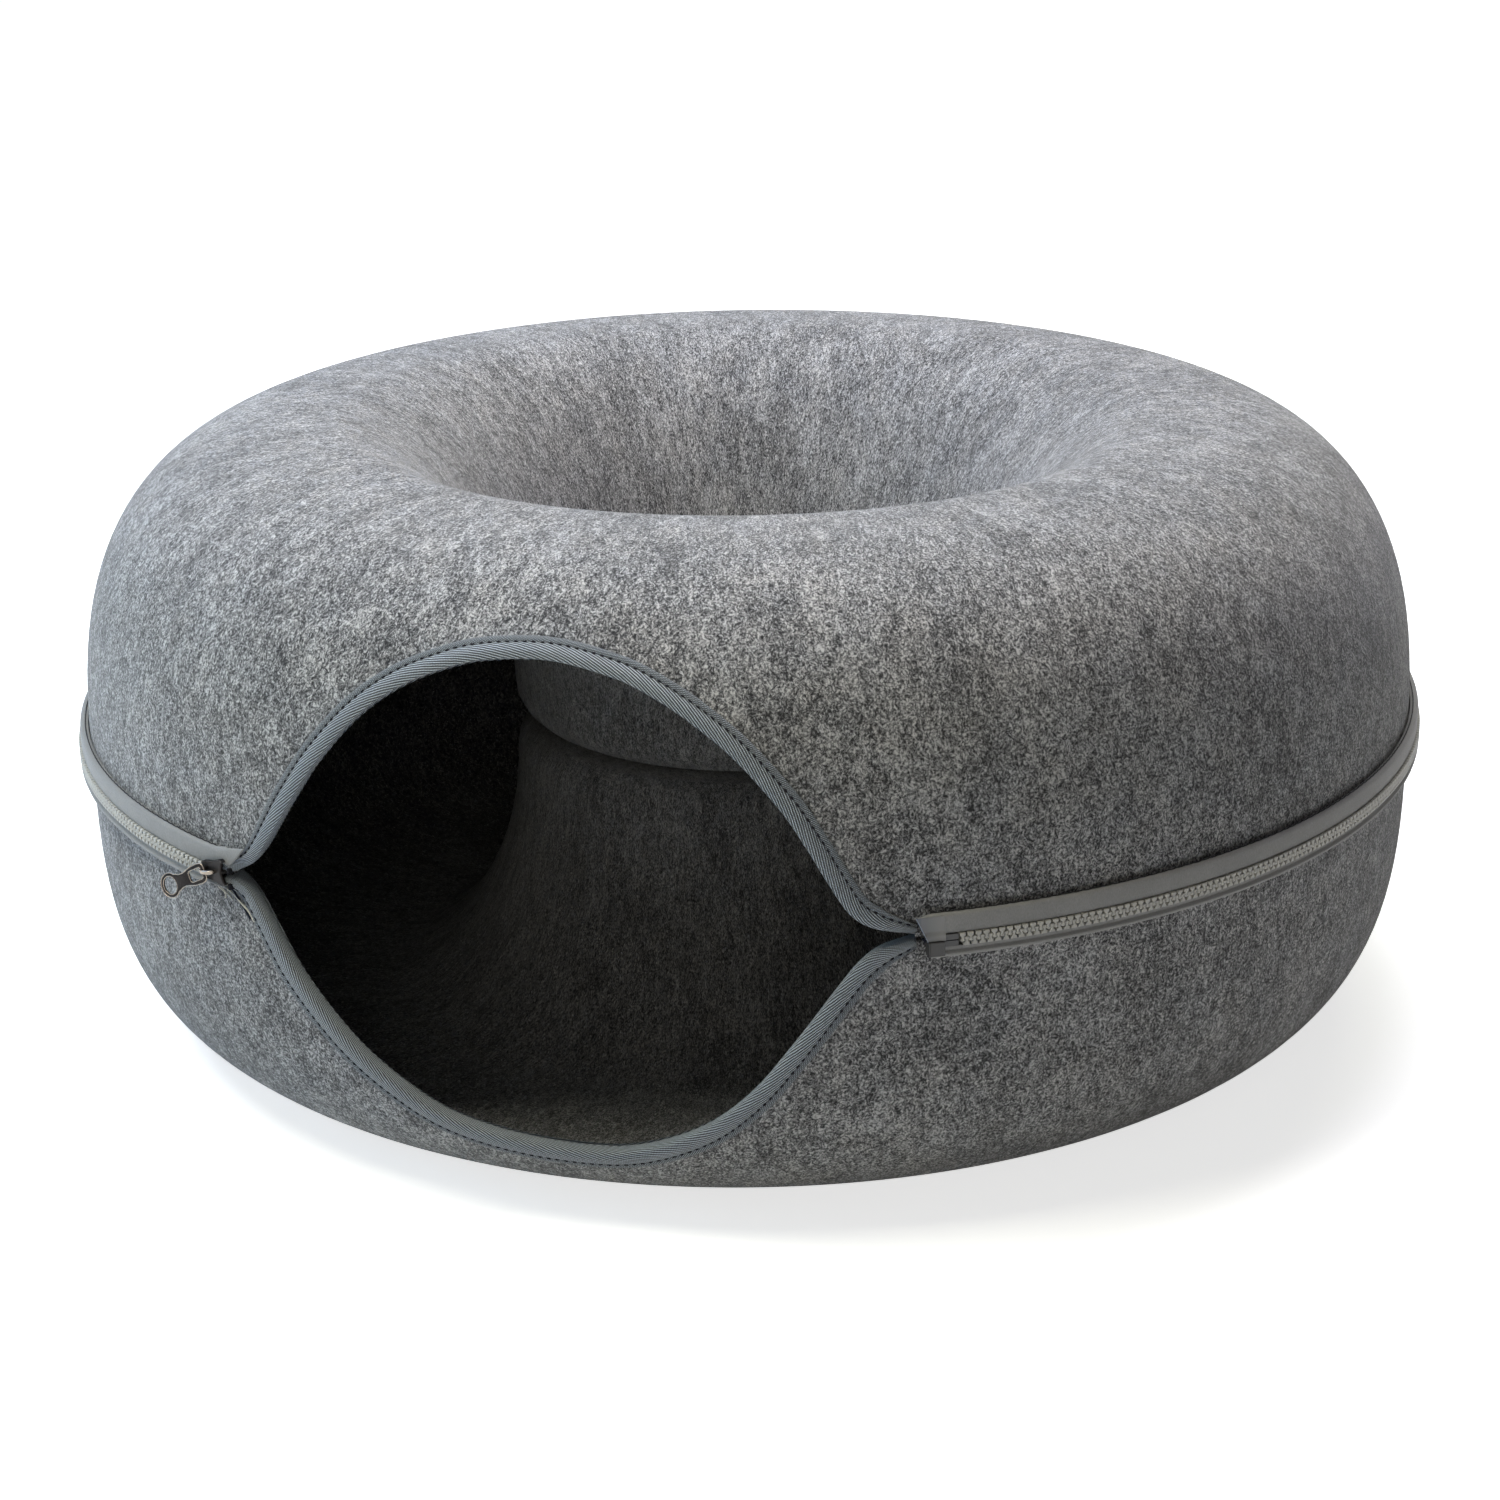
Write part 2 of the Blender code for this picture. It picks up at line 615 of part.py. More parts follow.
def retainer_box(finish):
    """The box on the lower tape's end: closed towards the entrance, open on top and to the pins."""
    half = BOX_LENGTH / 2
    inner = slot_inner_radius - GAP - BOX_WALL
    outer = row_outer_radius + BOX_LIP + BOX_WALL
    low = (-half, -outer, BOX_BOTTOM)
    high = (half, -inner, BOX_TOP)
    box = add_object("retainer_box", block_mesh("retainer_box", low, high), finish)
    low = (-half + BOX_WALL, -outer + BOX_WALL, BOX_BOTTOM + BOX_WALL)
    high = (half + OVERRUN, -inner - BOX_WALL, BOX_TOP + OVERRUN)
    pocket = add_object("box_pocket", block_mesh("box_pocket", low, high), group=cutter_group)
    low = (-half - OVERRUN, -slot_outer_radius, BOX_BOTTOM - OVERRUN)
    high = (half + OVERRUN, -slot_inner_radius, -ROW_HALF_HEIGHT)
    slot = add_object("box_tape_slot", block_mesh("box_tape_slot", low, high), group=cutter_group)
    for cutter in (pocket, slot):
        cut(box, at_ring(cutter, box_angle))
    return at_ring(box, box_angle)


def zip_pin(name, side, finish):
    """A pin in the box that leads its row of teeth into the slider."""
    start = -BOX_LENGTH / 2 + BOX_WALL + GAP
    reach = math.radians(chain_start_angle - box_angle) * row_inner_radius - 2 * GAP
    low, high = PIN_PLACE, PIN_PLACE + PIN_HEIGHT
    outline = [(start, low + PIN_POINT), (start + PIN_POINT, low), (reach, low), (reach, high), (start, high)]
    mesh = upright(plate_mesh(name, [outline], PIN_THICKNESS))
    mesh.transform(Matrix.Translation((0.0, -row_middle_radius + row_sag / 2, 0.0)))
    if side < 0:
        mesh.transform(Matrix.Rotation(math.pi, 4, "X"))
        mesh.transform(Matrix.Translation((0.0, -2 * (row_middle_radius - row_sag / 2), 0.0)))
    return at_ring(add_object(name, mesh, finish), box_angle)


def top_stop(name, side, finish):
    """The stop moulded on a row's last edge, just past the slider's nose."""
    start = SLIDER_LENGTH / 2 + GAP
    top = ROW_HALF_HEIGHT + row_spread
    heights = sorted((side * top, side * (top - STOP_HEIGHT)))
    low = (start, -row_outer_radius, heights[0])
    high = (start + STOP_LENGTH, -row_inner_radius, heights[1])
    obj = add_object(name, block_mesh(name, low, high), finish)
    edge = obj.modifiers.new("edge", "BEVEL")
    edge.width = STOP_LENGTH / 6
    edge.segments = 1
    return at_ring(obj, slider_angle)


def tape_film(finish):
    """The stiffening film on the upper tape's end."""
    middle = (tape_start_angle + chain_start_angle) / 2
    half_turn = math.radians(chain_start_angle - tape_start_angle) / 2
    face = leaf_outer_radius * math.cos(half_turn) + GAP
    low = (leaf_outer_radius * math.radians(film_start_angle - middle), -face - FILM_THICKNESS, tape_edge)
    high = (leaf_outer_radius * math.radians(film_end_angle - middle), -face, FILM_TOP)
    return at_ring(add_object("tape_film", block_mesh("tape_film", low, high), finish), middle)


clear_scene()
part_group = make_collection("donut_cat_tunnel")
cutter_group = make_collection("cutters")

upper_felt = make_material("upper_felt", (0.205, 0.205, 0.207), 0.95)
lower_felt = make_material("lower_felt", (0.170, 0.170, 0.172), 0.95)
upper_tape_cloth = make_material("upper_tape_cloth", (0.240, 0.232, 0.218), 0.85)
lower_tape_cloth = make_material("lower_tape_cloth", (0.235, 0.228, 0.214), 0.85)
upper_resin = make_material("upper_resin", (0.300, 0.286, 0.252), 0.50)
lower_resin = make_material("lower_resin", (0.296, 0.282, 0.248), 0.50)
upper_binding_cloth = make_material("upper_binding_cloth", (0.118, 0.126, 0.137), 0.80)
lower_binding_cloth = make_material("lower_binding_cloth", (0.112, 0.120, 0.131), 0.80)
slider_metal = make_material("slider_metal", (0.085, 0.075, 0.070), 0.35, 1.0)
bridge_metal = make_material("bridge_metal", (0.620, 0.600, 0.560), 0.22, 1.0)
pull_metal = make_material("pull_metal", (0.130, 0.120, 0.115), 0.28, 1.0)
box_plastic = make_material("box_plastic", (0.045, 0.045, 0.046), 0.45)
insertion_pin_plastic = make_material("insertion_pin_plastic", (0.055, 0.053, 0.052), 0.40)
box_pin_plastic = make_material("box_pin_plastic", (0.050, 0.049, 0.048), 0.40)
upper_stop_resin = make_material("upper_stop_resin", (0.290, 0.276, 0.244), 0.50)
lower_stop_resin = make_material("lower_stop_resin", (0.286, 0.272, 0.240), 0.50)
film_plastic = make_material("film_plastic", (0.150, 0.155, 0.165), 0.30)

entrance = entrance_cutter()
cut(turned_shell("upper_felt_shell", upper_profile(), upper_felt), entrance)
cut(turned_shell("lower_felt_shell", lower_profile(), lower_felt), entrance)
entrance_binding("upper_entrance_binding", 1, upper_binding_cloth)
entrance_binding("lower_entrance_binding", -1, lower_binding_cloth)
zip_tape("upper_zip_tape", 1, UPPER_TAPE_TOP, upper_tape_cloth)
zip_tape("lower_zip_tape", -1, LOWER_TAPE_BOTTOM, lower_tape_cloth)
zip_teeth("upper_zip_teeth", 1, upper_resin)
zip_teeth("lower_zip_teeth", -1, lower_resin)
slider_body(slider_metal)
slider_bridge(bridge_metal)
pull_tab(pull_metal)
retainer_box(box_plastic)
zip_pin("insertion_pin", 1, insertion_pin_plastic)
zip_pin("box_pin", -1, box_pin_plastic)
top_stop("upper_top_stop", 1, upper_stop_resin)
top_stop("lower_top_stop", -1, lower_stop_resin)
tape_film(film_plastic)
bpy.context.view_layer.update()
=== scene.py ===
"""Dresses the donut cat tunnel: felt shells, entrance bindings, the separating zip, and the studio."""

import math
from collections import namedtuple

import bmesh
import bpy
import numpy as np
from mathutils import Matrix, Vector


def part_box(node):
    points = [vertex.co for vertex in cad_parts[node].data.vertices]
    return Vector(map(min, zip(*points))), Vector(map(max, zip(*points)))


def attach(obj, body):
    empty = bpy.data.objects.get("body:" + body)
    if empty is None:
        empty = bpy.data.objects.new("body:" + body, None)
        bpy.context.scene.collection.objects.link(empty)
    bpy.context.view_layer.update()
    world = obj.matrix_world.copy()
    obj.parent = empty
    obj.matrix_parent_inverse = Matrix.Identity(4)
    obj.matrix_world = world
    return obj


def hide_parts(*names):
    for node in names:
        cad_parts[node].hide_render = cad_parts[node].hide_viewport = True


bl_info = {
    "name": "Donut Cat Tunnel",
    "version": (1, 0, 0),
    "blender": (4, 5, 0),
    "location": "View3D > Sidebar > Tunnel",
    "description": "Felt cat tunnel with a bowl on top, an arched entrance and a separating zip",
    "category": "Add Mesh",
}

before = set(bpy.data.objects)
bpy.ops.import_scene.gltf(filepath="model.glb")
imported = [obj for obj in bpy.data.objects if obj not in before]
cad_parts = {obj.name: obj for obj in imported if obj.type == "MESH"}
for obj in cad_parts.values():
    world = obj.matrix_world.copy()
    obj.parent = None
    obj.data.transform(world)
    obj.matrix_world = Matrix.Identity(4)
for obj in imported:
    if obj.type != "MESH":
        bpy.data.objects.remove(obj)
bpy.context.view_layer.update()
STANDING_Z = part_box("lower_felt_shell")[0][2]
CREST_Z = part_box("upper_felt_shell")[1][2]

MM = 0.001
FELT_RADIUS = 0.300
ARCH_HALF_WIDTH = 0.139


# Sizes and colours


class TunnelSizes(bpy.types.PropertyGroup):
    """Sizes of the felt shells, as the part's source has them."""

    felt_radius: bpy.props.FloatProperty(
        name="Felt radius", description="Radius of the felt at the zip", default=FELT_RADIUS, unit="LENGTH")
    felt_thickness: bpy.props.FloatProperty(
        name="Felt thickness", description="Thickness of the pressed felt", default=0.0045, unit="LENGTH")
    rise: bpy.props.FloatProperty(
        name="Rise", description="Height of the crest above the zip", default=CREST_Z, unit="LENGTH")
    drop: bpy.props.FloatProperty(
        name="Drop", description="Depth of the standing ring below the zip", default=-STANDING_Z,
        unit="LENGTH")
    upper_crest: bpy.props.FloatProperty(
        name="Crest radius", description="Radius of the upper shell's crest", default=0.1857, unit="LENGTH")
    lower_crest: bpy.props.FloatProperty(
        name="Ring radius", description="Outer radius of the standing ring", default=0.1912, unit="LENGTH")
    ring_width: bpy.props.FloatProperty(
        name="Ring width", description="Width of the standing ring", default=0.020, unit="LENGTH")
    hub_radius: bpy.props.FloatProperty(
        name="Bowl radius", description="Radius of the bowl's wall at its foot", default=0.103, unit="LENGTH")
    hub_corner: bpy.props.FloatProperty(
        name="Bowl corner", description="Rounding between the bowl's floor and wall", default=0.012,
        unit="LENGTH")
    rim: bpy.props.FloatProperty(
        name="Rim", description="Height of each felt rim from the zip's middle", default=0.00075,
        unit="LENGTH")
    arch_half_width: bpy.props.FloatProperty(
        name="Entrance half width", description="Half the width of the cut", default=ARCH_HALF_WIDTH,
        unit="LENGTH")
    arch_rise: bpy.props.FloatProperty(
        name="Entrance rise", description="Height of the cut above the zip", default=0.1045, unit="LENGTH")
    arch_drop: bpy.props.FloatProperty(
        name="Entrance drop", description="Depth of the cut below the zip", default=0.0930, unit="LENGTH")


class TunnelFinish(bpy.types.PropertyGroup):
    """Colours of the felt, tapes, resin and metal."""

    felt_dark: bpy.props.FloatVectorProperty(
        name="Dark fibres", description="Darkest fibres of the felt", default=(0.010, 0.010, 0.011),
        subtype="COLOR")
    felt_middle: bpy.props.FloatVectorProperty(
        name="Grey fibres", description="Ground colour of the felt", default=(0.172, 0.172, 0.173),
        subtype="COLOR")
    felt_light: bpy.props.FloatVectorProperty(
        name="Light fibres", description="Palest fibres of the felt", default=(0.500, 0.495, 0.490),
        subtype="COLOR")
    binding: bpy.props.FloatVectorProperty(
        name="Binding", description="Twill of the entrance bindings", default=(0.131, 0.147, 0.161),
        subtype="COLOR")
    tape: bpy.props.FloatVectorProperty(
        name="Zip tape", description="Woven tape of the zip", default=(0.225, 0.222, 0.215), subtype="COLOR")
    resin: bpy.props.FloatVectorProperty(
        name="Teeth", description="Moulded resin of the teeth", default=(0.374, 0.364, 0.330),
        subtype="COLOR")
    metal: bpy.props.FloatVectorProperty(
        name="Gunmetal", description="Metal of the slider and pull", default=(0.052, 0.045, 0.042),
        subtype="COLOR")
    box: bpy.props.FloatVectorProperty(
        name="Box", description="Plastic of the retainer box", default=(0.019, 0.018, 0.017), subtype="COLOR")


# The zip's radii and lengths in metres, and its places in degrees round the ring from the middle of the
# entrance; the upper tape starts to climb at CLIMB_START, before its left end.
ROW_INNER = 0.3022
ROW_MIDDLE = 0.3037
ROW_OUTER = 0.3052
ROW_SPREAD = 0.0021
CORNER = math.degrees(math.asin(ARCH_HALF_WIDTH / FELT_RADIUS))
LEFT_CORNER = 360.0 - CORNER
CHAIN_START = CORNER + math.degrees(0.0162 / FELT_RADIUS)
CHAIN_END = LEFT_CORNER + math.degrees(0.0006 / FELT_RADIUS)
BOX_ANGLE = CORNER + math.degrees(0.0068 / FELT_RADIUS)
SHADOW_LINE_START = CORNER + 1.0
SHADOW_LINE_END = 360.0 - (CORNER - math.degrees(0.0022 / FELT_RADIUS)) - 0.9
SLIDER_LENGTH = 0.0140
SLIDER_OUTER = 0.3069
SLIDER_SPAN = math.degrees(SLIDER_LENGTH / ROW_MIDDLE)
SLIDER_ANGLE = CHAIN_END - SLIDER_SPAN / 2
CLIMB_START = 330.6
TOOTH_PITCH = 3.18 * MM

# The width of the bindings' strip outside the stitches, and the length of a stitch with its gap
STRIP_WIDTH = 3.3 * MM
STITCH_PITCH = 3.5 * MM

# How full the felt's curves are: 2 is a circle's arc, and more comes closer to a corner.
UPPER_SIDE_FULLNESS = 2.65
LOWER_SIDE_FULLNESS = 3.34
BOWL_FULLNESS = 1.8
MOUND_FULLNESS = 1.9
ROUND = 2.0

# The cut edge from the left corner to the right one, as shares of the entrance's half width and height
UPPER_ARCH = (
    (-1.0, 0.036), (-0.938, 0.085), (-0.895, 0.150), (-0.840, 0.258), (-0.776, 0.388), (-0.694, 0.545),
    (-0.573, 0.728), (-0.447, 0.856), (-0.315, 0.938), (-0.185, 0.985), (0.0, 1.0), (0.18, 0.961),
    (0.30, 0.904), (0.42, 0.817), (0.54, 0.698), (0.66, 0.528), (0.735, 0.378), (0.79, 0.246),
    (0.843, 0.128), (0.90, 0.070), (1.0, 0.036),
)
LOWER_ARCH = (
    (-1.0, 0.010), (-0.955, 0.052), (-0.914, 0.128), (-0.863, 0.238), (-0.801, 0.369), (-0.716, 0.510),
    (-0.599, 0.677), (-0.469, 0.818), (-0.338, 0.930), (-0.18, 0.995), (0.0, 1.026), (0.18, 1.022),
    (0.33, 0.952), (0.465, 0.838), (0.585, 0.672), (0.68, 0.487), (0.75, 0.34), (0.81, 0.21),
    (0.863, 0.106), (0.912, 0.050), (1.0, 0.010),
)

# The folded binding in millimetres: the way in from the cut edge, and the height over the felt
FRONT_LEG = (
    (7.4, 0.35), (7.35, 0.85), (6.9, 1.15), (6.1, 1.25), (5.1, 1.02), (4.8, 0.90), (4.5, 1.05),
    (3.7, 1.45), (2.6, 1.75), (1.4, 1.85), (0.3, 1.8),
)
FOLD = ((-0.9, 1.35), (-1.5, 0.5), (-1.75, -0.8), (-1.8, -2.2), (-1.75, -3.6), (-1.5, -5.2), (-0.8, -6.0))

# The tapes' outlines in millimetres, as radius and distance from the zip's middle line
UPPER_TAPE = (
    (303.95, 2.75), (304.1, 3.1), (304.12, 5.0), (304.1, 9.2), (303.9, 10.0), (303.4, 10.45),
    (302.6, 10.6), (301.4, 10.5), (300.45, 10.15), (300.4, 9.5), (302.4, 9.4), (303.2, 9.0),
    (303.3, 5.0), (303.3, 2.75),
)
LOWER_TAPE = (
    (303.95, 2.75), (304.05, 3.0), (303.95, 3.6), (303.85, 4.1), (304.1, 4.5), (304.75, 5.0),
    (305.0, 5.6), (304.8, 6.25), (304.1, 6.75), (302.9, 6.95), (301.5, 6.95), (300.45, 6.8),
    (300.45, 6.2), (302.4, 6.1), (303.2, 5.6), (303.3, 4.4), (303.3, 2.75),
)


# Modelling helpers


def clamp(value):
    """A number held between 0 and 1."""
    return min(max(value, 0.0), 1.0)


def assign(target, settings):
    """Sets named settings of a modifier, curve, node or lamp."""
    for key, value in settings.items():
        setattr(target, key, value)
    return target


def start_clean():
    """Leaves edit mode and deselects all."""
    if bpy.context.object and bpy.context.object.mode != "OBJECT":
        bpy.ops.object.mode_set(mode="OBJECT")
    bpy.ops.object.select_all(action="DESELECT")


def pick(obj):
    """Makes a piece active, and the only selected one."""
    start_clean()
    bpy.context.view_layer.objects.active = obj
    obj.select_set(True)
    return obj


def edit(obj):
    """Opens a piece in edit mode with all of it selected."""
    pick(obj)
    bpy.ops.object.mode_set(mode="EDIT")
    bpy.ops.mesh.select_all(action="SELECT")


def extrude(depth):
    """Extrudes what is selected along a vector."""
    bpy.ops.mesh.extrude_region_move(TRANSFORM_OT_translate={"value": depth})


def shade(obj, smooth):
    """Shades a piece smooth, apart from edges sharper than an angle in degrees."""
    pick(obj)
    bpy.ops.object.shade_smooth_by_angle(angle=math.radians(smooth))
    return obj


def done(obj, smooth=35.0):
    """Merges doubles, turns the faces outwards and shades the piece."""
    edit(obj)
    bpy.ops.mesh.remove_doubles(threshold=0.002 * MM)
    bpy.ops.mesh.normals_make_consistent(inside=False)
    return shade(obj, smooth)


def modify(obj, kind, **settings):
    """Gives a piece a modifier and applies it."""
    step = assign(obj.modifiers.new(kind, kind), settings)
    pick(obj)
    bpy.ops.object.modifier_apply(modifier=step.name)


def link(name, data):
    """A new object in the scene, made active and selected."""
    obj = bpy.data.objects.new(name, data)
    bpy.context.scene.collection.objects.link(obj)
    return pick(obj)


def pen_line(name, points, closed=False):
    """One point extruded from place to place, as a line or as a filled outline."""
    points = [Vector(p) for p in points]
    start_clean()
    bpy.ops.mesh.primitive_plane_add(size=MM, location=points[0])
    obj = bpy.context.object
    obj.name = name
    edit(obj)
    bpy.ops.mesh.merge(type="CENTER")
    for a, b in zip(points, points[1:]):
        extrude(b - a)
    if closed:
        bpy.ops.mesh.select_all(action="SELECT")
        bpy.ops.mesh.edge_face_add()
    bpy.ops.object.mode_set(mode="OBJECT")
    obj.data.transform(obj.matrix_world)
    obj.matrix_world = Matrix.Identity(4)
    return obj


def prism(name, outline, depth, bevel=0.0, segments=2):
    """An outline extruded along a vector, with its edges softened."""
    obj = pen_line(name, outline, closed=True)
    edit(obj)
    extrude(depth)
    done(obj)
    if bevel:
        sharp = math.radians(40)
        modify(obj, "BEVEL", width=bevel, segments=segments, limit_method="ANGLE", angle_limit=sharp)
        done(obj)
    return obj


def swept(name, loops, closed, smooth, **settings):
    """Splines through loops of points, swept as the settings say and turned into a mesh."""
    curve = assign(bpy.data.curves.new(name, "CURVE"), settings)
    curve.bevel_resolution = 2
    for loop in loops:
        spline = curve.splines.new("POLY")
        spline.points.add(len(loop) - 1)
        for point, place in zip(spline.points, loop):
            point.co = (*place, 1.0)
        spline.use_cyclic_u = closed
    link(name, curve)
    bpy.ops.object.convert(target="MESH")
    return done(bpy.context.object, smooth)


def plate(name, loops, thickness, bevel):
    """A flat plate with holes, with rounded edges, in X and Y."""
    flat = [[(x, y, 0.0) for x, y in loop] for loop in loops]
    return swept(
        name, flat, True, 35.0, dimensions="2D", fill_mode="BOTH", extrude=thickness / 2 - bevel,
        bevel_depth=bevel, offset=-bevel)


def bead(name, loops, radius, closed=False):
    """Round beads along lines of points."""
    return swept(name, loops, closed, 60.0, dimensions="3D", bevel_depth=radius, use_fill_caps=True)


def repeated(name, source, places):
    """One modelled piece copied to many places, in one mesh."""
    mesh = source.data
    count = len(mesh.vertices)
    flat = np.empty(count * 3)
    mesh.vertices.foreach_get("co", flat)
    shape = np.c_[flat.reshape(-1, 3), np.ones(count)]
    faces = [tuple(p.vertices) for p in mesh.polygons]
    points = np.concatenate([(shape @ np.array(place).T)[:, :3] for place in places])
    polygons = [tuple(i + k * count for i in face) for k in range(len(places)) for face in faces]
    copy = bpy.data.meshes.new(name)
    copy.from_pydata(points.tolist(), [], polygons)
    bpy.data.objects.remove(source)
    return shade(link(name, copy), 35)


def join(name, *objects):
    """Several pieces made into one."""
    pick(objects[0])
    for obj in objects:
        obj.select_set(True)
    bpy.ops.object.join()
    obj = bpy.context.object
    obj.name = name
    return obj


def loft(name, sections, uvs=None):
    """Rows of points joined into a tube of tape, with both ends closed and a map along and across."""
    bm = bmesh.new()
    layer = bm.loops.layers.uv.new("tape")
    rows = [[bm.verts.new(p) for p in section] for section in sections]
    count = len(sections[0])
    for i in range(len(rows) - 1):
        for j in range(count):
            k = (j + 1) % count
            face = bm.faces.new((rows[i][j], rows[i][k], rows[i + 1][k], rows[i + 1][j]))
            if uvs:
                marks = (uvs[i][j], uvs[i][k or j], uvs[i + 1][k or j], uvs[i + 1][j])
                for loop, uv in zip(face.loops, marks):
                    loop[layer].uv = uv
    bm.faces.new(rows[0])
    bm.faces.new(rows[-1])
    bmesh.ops.recalc_face_normals(bm, faces=bm.faces)
    mesh = bpy.data.meshes.new(name)
    bm.to_mesh(mesh)
    bm.free()
    return shade(link(name, mesh), 50)


def smooth_points(points, steps):
    """Points on a smooth line through the given ones."""
    padded = [points[0] * 2 - points[1], *points, points[-1] * 2 - points[-2]]
    line = []
    for k in range(1, len(padded) - 2):
        p0, p1, p2, p3 = padded[k - 1 : k + 3]
        for i in range(steps):
            t = i / steps
            bend = (2 * p0 - 5 * p1 + 4 * p2 - p3) * t * t + (3 * p1 - p0 - 3 * p2 + p3) * t * t * t
            line.append((2 * p1 + (p2 - p0) * t + bend) / 2)
    line.append(points[-1].copy())
    return line


def ring_spot(turn, r, z):
    """A place on the ring from its turn in radians, radius and height."""
    return Vector((r * math.sin(turn), -r * math.cos(turn), z))


def ring_matrix(degrees, shift=(0.0, 0.0, 0.0)):
    """Carries a piece modelled at the middle of the entrance to its place round the ring."""
    return Matrix.Rotation(math.radians(degrees), 4, "Z") @ Matrix.Translation(shift)


# The felt's form


def quarter(fullness, steps):
    """A quarter of a rounded square, as shares of its width and height."""
    turns = [math.pi / 2 * i / steps for i in range(steps + 1)]
    return [(math.cos(t) ** (2 / fullness), math.sin(t) ** (2 / fullness)) for t in turns]


def upper_profile(s):
    """Outer face of the upper shell, from the bowl's middle to the rim, as radius and height."""
    points = [(s.hub_radius * k / 8, 0.0) for k in range(7)]
    corner = s.hub_corner
    for across, up in quarter(ROUND, 5)[::-1]:
        points.append((s.hub_radius - corner * (1 - across), corner * (1 - up)))
    wall = s.upper_crest - s.hub_radius
    for across, up in quarter(BOWL_FULLNESS, 22)[1:]:
        points.append((s.upper_crest - wall * across, corner + (s.rise - corner) * up))
    side = s.felt_radius - s.upper_crest
    for across, up in quarter(UPPER_SIDE_FULLNESS, 30)[-2::-1]:
        points.append((s.upper_crest + side * across, s.rim + (s.rise - s.rim) * up))
    return points


def lower_profile(s):
    """Outer face of the lower shell, from the rim down to the standing ring and up under the mound."""
    side = s.felt_radius - s.lower_crest
    points = []
    for across, down in quarter(LOWER_SIDE_FULLNESS, 30):
        points.append((s.lower_crest + side * across, -s.rim - (s.drop - s.rim) * down))
    ring = s.lower_crest - s.ring_width
    roof = -2 * s.felt_thickness - 0.0003
    corner = s.hub_corner
    wall = ring - s.hub_radius
    for across, down in quarter(MOUND_FULLNESS, 22)[::-1]:
        points.append((ring - wall * across, roof - corner - (s.drop + roof - corner) * down))
    for across, up in quarter(ROUND, 5)[1:]:
        points.append((s.hub_radius - corner * (1 - across), roof - corner * (1 - up)))
    points += [(s.hub_radius * k / 8, roof) for k in range(6, -1, -1)]
    return points


def side_radius(s, z):
    """Outer radius of the felt at a height on its outer side."""
    if z >= 0:
        crest, reach, fullness = s.upper_crest, s.rise, UPPER_SIDE_FULLNESS
    else:
        crest, reach, fullness = s.lower_crest, s.drop, LOWER_SIDE_FULLNESS
    share = max(0.0, (abs(z) - s.rim) / (reach - s.rim))
    return crest + (s.felt_radius - crest) * (1 - share**fullness) ** (1 / fullness)


def felt_point(s, x, z):
    """The place and the outward direction of the felt's outer face at the front."""
    r = side_radius(s, z)
    step = 0.5 * MM
    slope = (side_radius(s, z + step) - side_radius(s, z - step)) / (2 * step)
    place = Vector((x, -math.sqrt(r * r - x * x), z))
    return place, Vector((place.x / r, place.y / r, -slope)).normalized()


def arch_line(s, side, steps):
    """The cut edge seen from the front, from left to right, as X and Z."""
    table, reach = (UPPER_ARCH, s.arch_rise) if side > 0 else (LOWER_ARCH, s.arch_drop)
    return smooth_points([Vector((x * s.arch_half_width, side * z * reach)) for x, z in table], steps)


def felt_shell(name, s, side):
    """A shell turned from its profile, thickened inwards and cut open at the entrance."""
    profile = upper_profile(s) if side > 0 else lower_profile(s)
    shell = pen_line(name, [(r, 0.0, z) for r, z in profile])
    edit(shell)
    bpy.ops.mesh.spin(steps=256, angle=math.tau, center=(0, 0, 0), axis=(0, 0, 1))
    done(shell, 60)
    modify(shell, "SOLIDIFY", thickness=s.felt_thickness, offset=-1.0, use_even_offset=True)
    reach = 0.08
    line = arch_line(s, 1, 6) + arch_line(s, -1, 6)[::-1]
    cutter = prism("cutter", [(p.x, -s.felt_radius - reach, p.y) for p in line], (0.0, 2 * reach, 0.0))
    modify(shell, "BOOLEAN", operation="DIFFERENCE", solver="EXACT", object=cutter)
    bpy.data.objects.remove(cutter)
    return shade(shell, 50)


def lay_of_fibres(obj, s, side):
    """Stores how the fibres lie: round the ring in the first two numbers, and up the profile in the third."""
    profile = np.array(upper_profile(s)[::-1] if side > 0 else lower_profile(s))
    away = profile - np.array((s.upper_crest, 0.0))
    turn = np.mod(side * np.arctan2(away[:, 1], away[:, 0]) + math.pi / 2, math.tau)
    length = np.r_[0.0, np.cumsum(np.linalg.norm(np.diff(profile, axis=0), axis=1))]
    order = np.argsort(turn)
    flat = np.empty(len(obj.data.vertices) * 3)
    obj.data.vertices.foreach_get("co", flat)
    x, y, z = flat.reshape(-1, 3).T
    radius = np.hypot(x, y)
    own = np.mod(side * np.arctan2(z, radius - s.upper_crest) + math.pi / 2, math.tau)
    along = np.interp(own, turn[order], length[order])
    safe = np.maximum(radius, 0.1 * MM)
    # Near the middle of a floor the fibres lie as they do in a flat sheet.
    spread = np.minimum(radius / (0.9 * s.hub_radius), 1.0) * s.felt_radius * 0.75
    lay = np.c_[x / safe * spread, y / safe * spread, side * (along + 0.01)]
    layer = obj.data.attributes.new("lay", "FLOAT_VECTOR", "POINT")
    layer.data.foreach_set("vector", lay.ravel())


# Materials


SOCKETS = {
    "base": "Base Color", "metallic": "Metallic", "specular": "Specular IOR Level", "sheen": "Sheen Weight",
    "sheen_roughness": "Sheen Roughness", "emission": "Emission Color",
}


